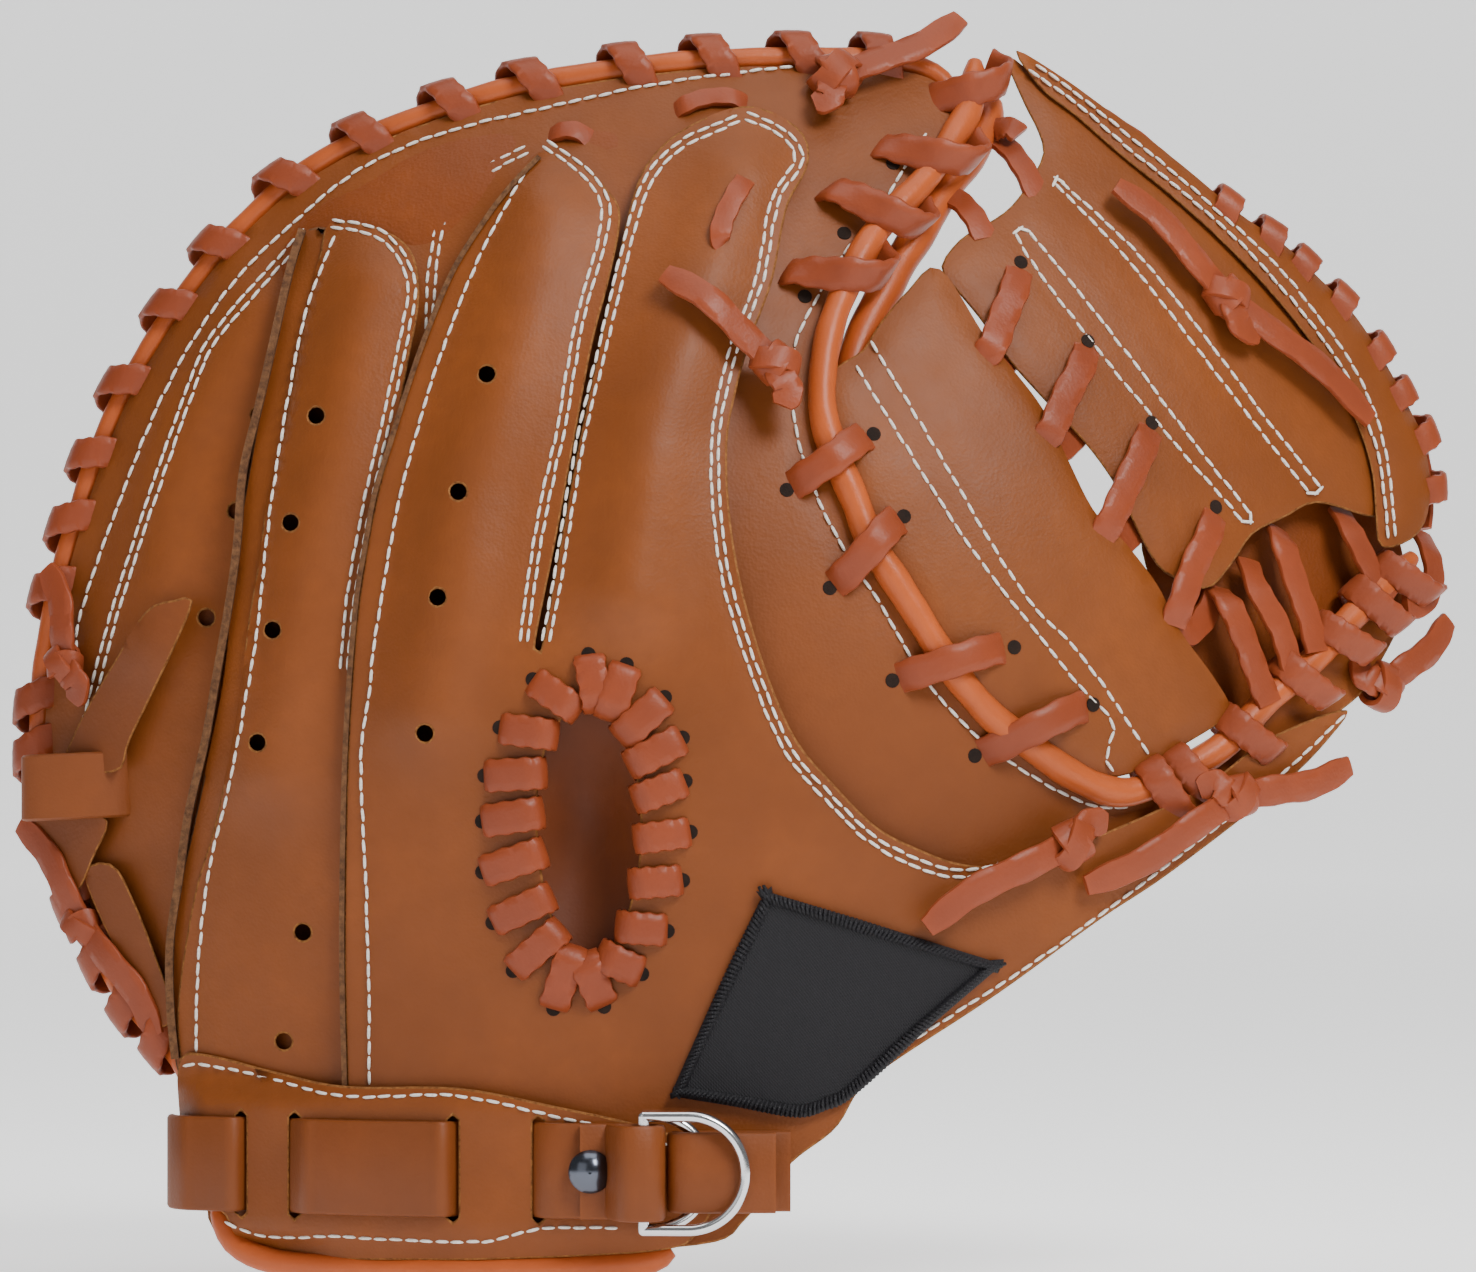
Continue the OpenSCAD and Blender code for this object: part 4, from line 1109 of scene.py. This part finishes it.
def wraps(batch, marks, line, profile, depth, slant, width=6.4):
    """A turn of lace at each mark, square to the edge line with its own small slant."""
    path = even(curve(line, 8), 1.0)
    for k, mark in enumerate(marks):
        m = Vector(mark)
        i = min(range(len(path)), key=lambda j: (path[j] - m).length)
        q = path[i]
        t = (path[min(i + 2, len(path) - 1)] - path[max(i - 2, 0)]).normalized()
        along = Vector((t.x, 0, t.y))
        inward = Vector((t.y, 0, -t.x))
        centre = Vector((q.x, dome(q.x, q.y) + depth, q.y))
        lean = slant + 0.7 * math.sin(k * 2.3)
        wrap(batch, centre, along, inward, Vector((0, 1, 0)), profile, lean, width)


def rim_lacing():
    """The lace that wraps the rim's welt, and its runs from turn to turn."""
    b = Batch()
    edge = shifted(even(curve(RIM, 6), 2.0), 2.3)[::3]
    wraps(b, RIM_WRAPS, edge, RIM_WRAP, 2.2, 6.2)
    path = shifted(even(curve(RIM, 6), 2.0), 3.2)
    pts = [Vector((q.x, dome(q.x, q.y) + 8.6 + 0.8 * math.sin(i * 0.9), q.y)) for i, q in enumerate(path)]
    ups = [Vector((-0.6 if q.x < 0 else 0.0, 0.8, 0.2)).normalized() for q in path]
    lace(b, pts[4:-6:2], 5.6, 1.5, ups[4:-6:2], steps=3)
    folds(b.build("rim_lacing", [LACE]), "rawhide", "rim_lace")


CROSS_LACES = [
    [(63.5, 148), (67, 150.5), (73, 154.5), (77.5, 158), (80.5, 159)],
    [(72, 128.5), (75, 131), (80.5, 137), (84, 141), (86.5, 142.5)],
    [(84.5, 110), (89, 111.5), (97, 114), (104, 116), (108.5, 116.5)],
    [(101, 95), (106, 97), (114, 101), (120.5, 104), (124.5, 105)],
]
INDEX_LACES = [
    [(106, 220.5), (109, 218), (112, 213.5), (114.5, 208)],
    [(95, 209), (98.5, 207), (101.5, 203.5), (103.5, 199)],
    [(104, 220), (106, 222), (109, 222.5), (111, 221)],
]
THUMB_LACES = [
    [(150.5, 128), (153, 125), (156, 118), (158.5, 111), (161, 105)],
    [(163, 140.5), (164.5, 137), (167, 129), (169.5, 122), (171, 115.5)],
    [(157, 134), (159, 128), (163, 121), (165, 115), (166, 111)],
    [(176.5, 144.5), (179, 140), (182, 134), (184.5, 128.5), (187, 126)],
    [(194, 140), (196, 135.5), (196.5, 130), (194, 125.5), (190, 125)],
]


def web_lacing():
    """The turns round the crotch welt, and the laces that join it to the web."""
    b = Batch()
    wraps(b, CROTCH_WRAPS, CROTCH_ROLL, LONG_WRAP, -1.6, 6.0, 7.0)
    wraps(b, THUMB_WRAPS, CROTCH_ROLL, CROTCH_WRAP, -1.6, 2.2, 6.4)
    for line in CROSS_LACES:
        lace_on(b, line, [-2.0, 2.4, 6.4, 4.6, -1.2], 6.6)
    for line in INDEX_LACES:
        lace_on(b, line, [-6.5, -4.0, -1.0, -0.6], 5.6)
    for k, line in enumerate(THUMB_LACES):
        lace_on(b, line, [-4.0, 1.0, 1.6, 3.4, 4.6], 6.2 - 0.2 * k)
    folds(b.build("crotch_lacing", [LACE]), "rawhide", "crotch_lace", "web_index_lace", "thumb_lace",
          "thumb_web_lace")


ZIGZAGS = [
    [(110.5, 193.5), (109.5, 189), (107, 183), (105, 177.5), (102.5, 174.5)],
    [(124, 177.5), (123, 173.5), (119.5, 167), (117, 161), (115, 158)],
    [(137, 161), (135.5, 157), (132, 149.5), (129, 143), (126.5, 138.5)],
    [(150, 144), (149, 140), (145.5, 133), (143, 126), (141, 121)],
]


def zigzag_lacing():
    """The web's panels are drawn together by a lace that dives under one and over the other."""
    b = Batch()
    for line in ZIGZAGS:
        lace_on(b, line, [-1.2, 1.9, 2.6, 3.4, 1.2], 6.2, shape=web_skin)
        x, z = line[-1]
        back = [(x, z), (x + 3.6, z - 1.5), (x + 7.2, z + 2.2), (x + 9.5, z + 7.5)]
        lace_on(b, back, [0.4, -1.6, -3.6, -4.6], 5.6, shape=web_skin)
    wraps(b, WEB_WRAPS, WEB_EDGE[:-1], WEB_WRAP, -0.4, 2.0, 5.8)
    path = even(curve(WEB_EDGE[1:-2], 6), 3.0)
    pts = [Vector((q.x - 1.2, dome(q.x, q.y) + 5.2, q.y - 1.2)) for q in path]
    lace(b, pts, 4.6, 1.5, [Vector((0.5, 0.7, 0.4)).normalized()] * len(pts), steps=2)
    folds(b.build("web_lacing", [LACE]), "rawhide", "web_cross_lace", "web_edge_lace",
          "thumb_web_edge_lace")


WHIP_HOLES = [
    (24, 115), (31.5, 113), (39, 106.5), (42.5, 98.5), (43, 90), (44, 80), (42.5, 70.5), (39.5, 60.5),
    (34.5, 52), (27, 45.5), (17, 45), (9, 52.5), (5, 62), (3, 72), (3, 82), (3.5, 91), (6.5, 100.5),
    (13, 110)
]


def hole_whipping():
    """The turns of lace round the finger hole, one for each of its punched holes."""
    b = Batch()
    rim = even(curve(hole_line(), 6, True), 1.0, True)
    n = len(rim)
    for k, hole in enumerate(WHIP_HOLES):
        h = Vector(hole)
        near = min(range(n), key=lambda j: (rim[j] - h).length)
        q = rim[(near + 2) % n]
        out = (h - q).normalized()
        plan = [h, h - out * 1.1, h.lerp(q, 0.5), q + out * 1.4, q - out * 0.8, q + out * 0.2]
        lifts = [HAND_LIFT - 1.6, HAND_LIFT + 0.7, HAND_LIFT + 1.7, HAND_LIFT + 1.7, HAND_LIFT - 1.0,
                 HAND_LIFT - 6.5]
        pts = [Vector((p.x, skin(p.x, p.y) - lift, p.y)) for p, lift in zip(plan, lifts)]
        o = Vector((out.x, 0, out.y))
        face = Vector((0, -1, 0))
        ups = [(face + o * 0.6).normalized(), face, face, (face - o * 0.3).normalized(),
               (-o + face * 0.2).normalized(), -o]
        lace(b, pts, 6.4 + 0.25 * math.sin(k), 1.5, ups)
    folds(b.build("finger_hole_lacing", [LACE]), "rawhide", "finger_hole_lace")


PULLS = [
    [(40.5, 224.5), (43, 226.5), (47.5, 228), (52.5, 228), (56, 226)],
    [(15, 219.5), (17.5, 221), (21, 221), (24.5, 218.5)],
    [(55.5, 211), (53.5, 208), (51, 203), (50, 199), (50.5, 196.5)],
]


def eye(batch, centre, out):
    """A dark disc of painted shade in the mouth of a hole punched for a lace."""
    side = out.cross(Vector((0, 0, 1))).normalized()
    path = [centre - out * 0.5, centre + out * 0.12]
    batch.add(sweep(path, ROLL, [(3.1, 3.1), (2.9, 2.9)], [side, side]))


def lace_holes():
    """The punched holes that the laces go into, with a little of each showing; each hole's mouth gets a
    dark disc of painted shade.
    """
    b = Batch()
    middle = Vector((HOLE_X, HOLE_Z))
    spots = []
    for hole in WHIP_HOLES:
        h = Vector(hole)
        spots.append((h + (h - middle).normalized() * 0.2, HAND_LIFT, skin))
    for line in CROSS_LACES:
        a, z = Vector(line[0]), Vector(line[-1])
        d = (z - a).normalized()
        spots += [(a - d * 0.2, 0.0, skin), (z + d * 0.2, WEB_INNER_LIFT, web_skin)]
    for line in ZIGZAGS:
        spots.append((Vector(line[0]) + Vector((0.3, 0.9)), WEB_LIFT, web_skin))
    for q in LACE_EYES:
        spots.append((Vector(q), 0.0, skin))
    for q, lift, shape in spots:
        eye(b, Vector((q.x, shape(q.x, q.y) - lift, q.y)), skin_up(q.x, q.y, shape))
    folds(b.build("lace_holes", [HOLE]), "lining")


LACE_EYES = [(85, 214.5), (75, 200), (67, 187)]


def pull_laces():
    """Short loops that tie the palm leather to the back, seen where they come through."""
    b = Batch()
    for line, lift in zip(PULLS, (0.0, 0.0, HAND_LIFT)):
        lifts = [lift - 1.8] + [lift + 1.2] * (len(line) - 2) + [lift - 1.8]
        lace_on(b, line, lifts, 4.4)
    folds(b.build("palm_tie_laces", [LACE]), "rawhide", "finger_pull_laces")


PALM_TIES = [
    [(40, 214), (52, 215)],
    [(10, 208), (20, 211)],
    [(-20, 192), (-12, 197)],
    [(-62, 78), (-55, 68)],
    [(-45, 57), (-36, 50)],
    [(-21, 43), (-10, 40.5)],
    [(10, 40.5), (21, 43)],
    [(37, 50), (46, 57)],
]
PALM_TIE_LIFTS = [(0, -1.8), (0.12, 0.4), (0.3, 1.0), (0.7, 1.0), (0.88, 0.4), (1, -1.8)]


def palm_laces(leather_ob):
    """The palm's side of the laces that tie it to the back, and of the lace round its heel."""
    tree = BVHTree.FromPolygons([v.co for v in leather_ob.data.vertices],
                                [p.vertices for p in leather_ob.data.polygons])
    turns, eyes = Batch(), Batch()
    for a, z in PALM_TIES:
        def place(t, lift):
            q = Vector(a).lerp(Vector(z), t)
            hit, out = tree.ray_cast(Vector((q.x, 150, q.y)) * MM, Vector((0, -1, 0)))[:2]
            return hit / MM + out * lift, out
        turn = [place(t, lift) for t, lift in PALM_TIE_LIFTS]
        lace(turns, [point for point, _ in turn], 5.6, 1.5, [out for _, out in turn])
        # a dark disc of painted shade at the lace hole by each end
        for t in (-0.05, 1.05):
            eye(eyes, *place(t, 0.1))
    folds(turns.build("palm_laces", [LACE]), "rawhide")
    folds(eyes.build("palm_lace_holes", [HOLE]), "lining")


KNOTS = [
    ("index_tip_tie", "index_tip_knot", (73.5, 232.5), [(99, 245, 4), (69, 226.5, 1)], 4.0, 1.1),
    ("index_tie", "index_knot", (61, 173), [(39, 191, 1.5), (62.5, 164.5, 1)], HAND_LIFT + 3, 0.95),
    ("web_tie", "web_knot", (153, 188),
     [(130.5, 210.5, 2), (183, 163, 2.5), (159.5, 180, 1)], 4.2, 0.95),
    ("thumb_crotch_tie", "thumb_knot", (120, 77.5), [(91, 61, 1.5), (127, 81.5, -1)], HAND_LIFT + 3, 1.0),
    ("thumb_edge_tie", "thumb_edge_knot", (154, 86.5),
     [(177.5, 92.5, 2), (123, 69, 0.5), (146, 88, -1)], HAND_LIFT + 2.5, 0.95),
    ("thumb_tip_tie", "thumb_tip_knot", (185, 108.5), [(199.5, 122, 1), (180.5, 114, -1)], 1.5, 0.95),
    ("little_finger_tie", "little_finger_knot", (-83, 113),
     [(-87, 132.5, 1.5), (-81, 105.5, 0.5)], 3.4, 0.85),
    ("heel_tie", "heel_knot", (-79.5, 60), [(-92.5, 80.5, 1), (-64, 38, 0.5)], 3.0, 0.85),
]


def build_knots():
    """The knots that end the laces. A tail is (x, z, its end's height above the leather)."""
    for name, node, at, tails, lift, size in KNOTS:
        b = Batch()
        knot(b, at, tails, lift, size)
        folds(b.build(name, [LACE]), "rawhide", node)


# ---- Wrist strap, its tail, the little finger's loop and the patch. ----

STRAP_SECTION = [
    (-0.5, 0), (-0.49, 0.32), (-0.46, 0.5), (0.46, 0.5), (0.49, 0.32), (0.5, 0), (0.49, -0.32),
    (0.46, -0.5), (-0.46, -0.5), (-0.49, -0.32)
]
BAR_X, BAR_Y = 35.0, -48.9


def strap_base(x):
    """Depth of the wrist that the strap follows."""
    return -31 + 0.003 * (x - 45) ** 2


def strap_lift(x):
    """The strap's height: over the band between its slots and under it elsewhere."""
    over = smooth((-44 - x) / 4.5)
    over = max(over, smooth((x + 37.0) / 4.5) * smooth((-1.0 - x) / 4.5))
    over = max(over, smooth((x - 12) / 4.5))
    bow = 0.9 * math.exp(-((x + 19) / 10) ** 2)
    return mix(6.8, 12.2, over) + bow * over


def flat_strip(name, pts, width, t, material):
    """A strap of even width that runs through 3-D points at one height."""
    fine = curve(pts, 5)
    ups = []
    for i in range(len(fine)):
        d = (fine[min(i + 1, len(fine) - 1)] - fine[max(i - 1, 0)]).normalized()
        ups.append(Vector((d.y, -d.x, 0)).normalized())
    verts, faces = sweep(fine, STRAP_SECTION, [(width, t)] * len(fine), ups)
    return add_mesh(name, verts, faces, [material], sharp=40)


def build_strap():
    """The wrist strap, folded round the rings' bars, and its tail through the rings."""
    run = [(-60.5, strap_base(-60) - 6.0, STRAP_Z), (-60, strap_base(-60) - 9.5, STRAP_Z)]
    for k in range(35):
        x = -57.5 + 2.5 * k
        run.append((x, strap_base(x) - strap_lift(x), STRAP_Z))
    fold = [(-4, -3.9), (0, -4.9), (2.6, -3.4), (3.3, 0), (2.6, 3.4), (0, 4.9), (-4, 5.4), (-8, 5.0),
            (-12.6, 4.9)]
    run += [(BAR_X + x, BAR_Y + y, STRAP_Z) for x, y in fold]
    ob = flat_strip("wrist_strap_leather", run, 19, 2.0, STRAP)
    rides(ob, "strap_leather", "wrist_strap")
    tail = [(29, 6.3), (23, 6.3), (16, 6.3), (10, 6.2), (6.8, 5.2), (5.6, 3), (6, 0.9), (8.4, 0), (12, 0),
            (17, 0), (22, 0.2), (26, 0.4)]
    run = [(BAR_X + x, BAR_Y + y, STRAP_Z) for x, y in tail]
    ob = flat_strip("strap_tail_leather", run, 16, 1.9, STRAP)
    rides(ob, "strap_leather", "strap_tail")


LOOP_TAIL = [
    (-56, 126), (-60, 126), (-65.5, 124), (-71.5, 115), (-77.5, 105.5), (-81, 99), (-83, 93),
    (-77, 91), (-71, 92), (-69.5, 97), (-65, 106), (-60, 116)
]
LOOP_LOWER = [(-90, 81.5), (-82.5, 83), (-74, 82), (-77, 74), (-81, 66.5), (-85.5, 72.5)]
LOOP_STRAP = [
    (-79, 70.5), (-73, 72.5), (-68.5, 65), (-64, 54), (-60.5, 44), (-62, 39.5), (-67, 43.5), (-73, 56)
]
PATCH_LINE = [
    (59.5, 67), (59.5, 67), (82, 60), (104, 53), (104, 53), (91, 42), (76, 28.5), (71, 26),
    (65.5, 24.5), (54, 26.5), (42, 28.5), (42, 29), (50.5, 48)
]


def build_loop():
    """The little finger's loop: a pointed end through a folded keeper, and the strap below it."""
    for name, line, lift in (("loop_pointed_end", LOOP_TAIL, lambda x, z: 4.6 + 0.06 * (x + 80)),
                             ("loop_lower_end", LOOP_LOWER, lambda x, z: 4.2),
                             ("loop_strap", LOOP_STRAP, lambda x, z: 3.8)):
        ob = panel(name, line, lift, [STRAP, EDGE], t=2.2, step=2.2)
        rides(ob, "strap_leather")
    ring = []
    for k in range(16):
        a = math.tau * k / 16
        ring.append((11.2 * math.cos(a), 4.6 * math.sin(a)))
    cx, cz = -79.5, 88.5
    y = skin(cx, cz) - 3.6
    pts = [Vector((cx + u, y - v, cz + 0.05 * u)) for u, v in ring]
    ups = [Vector((u / 4, -v, 0)).normalized() for u, v in ring]
    path = curve(pts, 3, True)
    normals = [q.normalized() for q in curve(ups, 3, True)]
    verts, faces = sweep(path, STRAP_SECTION, [(13.5, 2.0)] * len(path), normals, True)
    ob = add_mesh("loop_keeper", verts, faces, [STRAP], sharp=40)
    rides(ob, "strap_leather", "little_finger_loop")


def build_patch():
    """A plain black woven patch with a rolled, overstitched border."""
    lift = HAND_LIFT + 1.3
    ob = panel("woven_patch", PATCH_LINE, lift, [SATIN, SATIN], t=1.2, step=2.2)
    folds(ob, "patch", "name_patch")
    ring = even(curve(PATCH_LINE, 5, True), 1.6, True)
    pts = on_skin(ring, lift + 0.1)
    b = Batch()
    b.add(sweep(pts, ROUND, [(2.3, 1.6)] * len(pts), None, True))
    cx = sum(q.x for q in ring) / len(ring)
    cz = sum(q.y for q in ring) / len(ring)
    for q in even(ring, 0.9, True):
        inward = (Vector((cx, cz)) - q).normalized()
        ends = [(-1.15, 0.3), (-0.5, 1.05), (0.5, 1.05), (1.15, 0.3)]
        line = [on_skin([q + inward * a], lift + h)[0] for a, h in ends]
        b.add(sweep(line, ROUND, [(0.7, 0.5)] * 4))
    folds(b.build("patch_border", [SATIN]), "patch")


# ---- Put it together. ----

METAL_NODES = [("inner_ring", NICKEL, "ring_metal"), ("outer_ring", NICKEL, "ring_metal"),
               ("strap_rivet", DARK_NICKEL, "rivet_metal")]


def dress_cad():
    """The rings and the rivet keep their exact shape, with their own finish."""
    for name, material, slot in METAL_NODES:
        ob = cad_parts[name]
        ob.data.materials.clear()
        ob.data.materials.append(material)
        ob.data.shade_smooth()
        ob.data.set_sharp_from_angle(angle=math.radians(40))


def build_backdrop():
    """A pale floor that sweeps up into a wall far behind."""
    white = bpy.data.materials.new("backdrop")
    white.use_nodes = True
    shader = white.node_tree.nodes["Principled BSDF"]
    shader.inputs["Base Color"].default_value = (0.93, 0.93, 0.925, 1)
    shader.inputs["Roughness"].default_value = 0.9
    shader.inputs["Emission Color"].default_value = (1, 1, 1, 1)
    shader.inputs["Emission Strength"].default_value = 0.8
    low = CAD_BOX[0].z / MM - 0.5
    bend, wall, height, front, sides = 900, 4300, 4500, -4300, (-5500, 5600)
    profile = [(front, low), (wall - bend, low)]
    profile += [(wall - bend + bend * math.sin(a), low + bend - bend * math.cos(a))
                for a in (math.pi / 2 * k / 12 for k in range(1, 13))]
    profile += [(wall, low + height)]
    verts = [(x, y, z) for y, z in profile for x in sides]
    faces = [(2 * i, 2 * i + 1, 2 * i + 3, 2 * i + 2) for i in range(len(profile) - 1)]
    add_mesh("backdrop_sweep", verts, faces, [white])


LIGHTS = [("key", (0.75, -1.0, 1.15), 0.6, 27), ("fill", (-0.95, -1.2, 0.5), 1.2, 3.5),
          ("top", (0.05, -0.1, 1.3), 1.0, 8)]


def build_lights():
    """Three soft lights aimed at the mitt, and a dim even world."""
    for name, at, size, power in LIGHTS:
        light = bpy.data.lights.new(name, "AREA")
        light.size, light.energy = size, power
        ob = bpy.data.objects.new(name, light)
        bpy.context.scene.collection.objects.link(ob)
        ob.location = at
        ob.rotation_euler = (Vector((0.05, 0, 0.11)) - ob.location).to_track_quat("-Z", "Y").to_euler()
    world = bpy.data.worlds.new("studio")
    world.use_nodes = True
    background = world.node_tree.nodes["Background"]
    background.inputs["Color"].default_value = (1, 1, 1, 1)
    background.inputs["Strength"].default_value = 0.2
    bpy.context.scene.world = world


def build_camera():
    """A long lens, square to the back of the mitt."""
    data = bpy.data.cameras.new("camera")
    data.lens, data.sensor_width = 240, 36
    cam = bpy.data.objects.new("camera", data)
    bpy.context.scene.collection.objects.link(cam)
    cam.location = (0.0536, -1.988, 0.1188)
    cam.rotation_euler = (math.radians(90), 0, 0)
    bpy.context.scene.camera = cam


build_back()
build_back_stitches()
build_hole_lining()
palm_ob = build_palm()
build_web()
build_felt_edge()
build_rolls()
rim_lacing()
web_lacing()
zigzag_lacing()
hole_whipping()
pull_laces()
palm_laces(palm_ob)
lace_holes()
build_knots()
build_strap()
build_loop()
build_patch()
dress_cad()
build_backdrop()
build_lights()
build_camera()
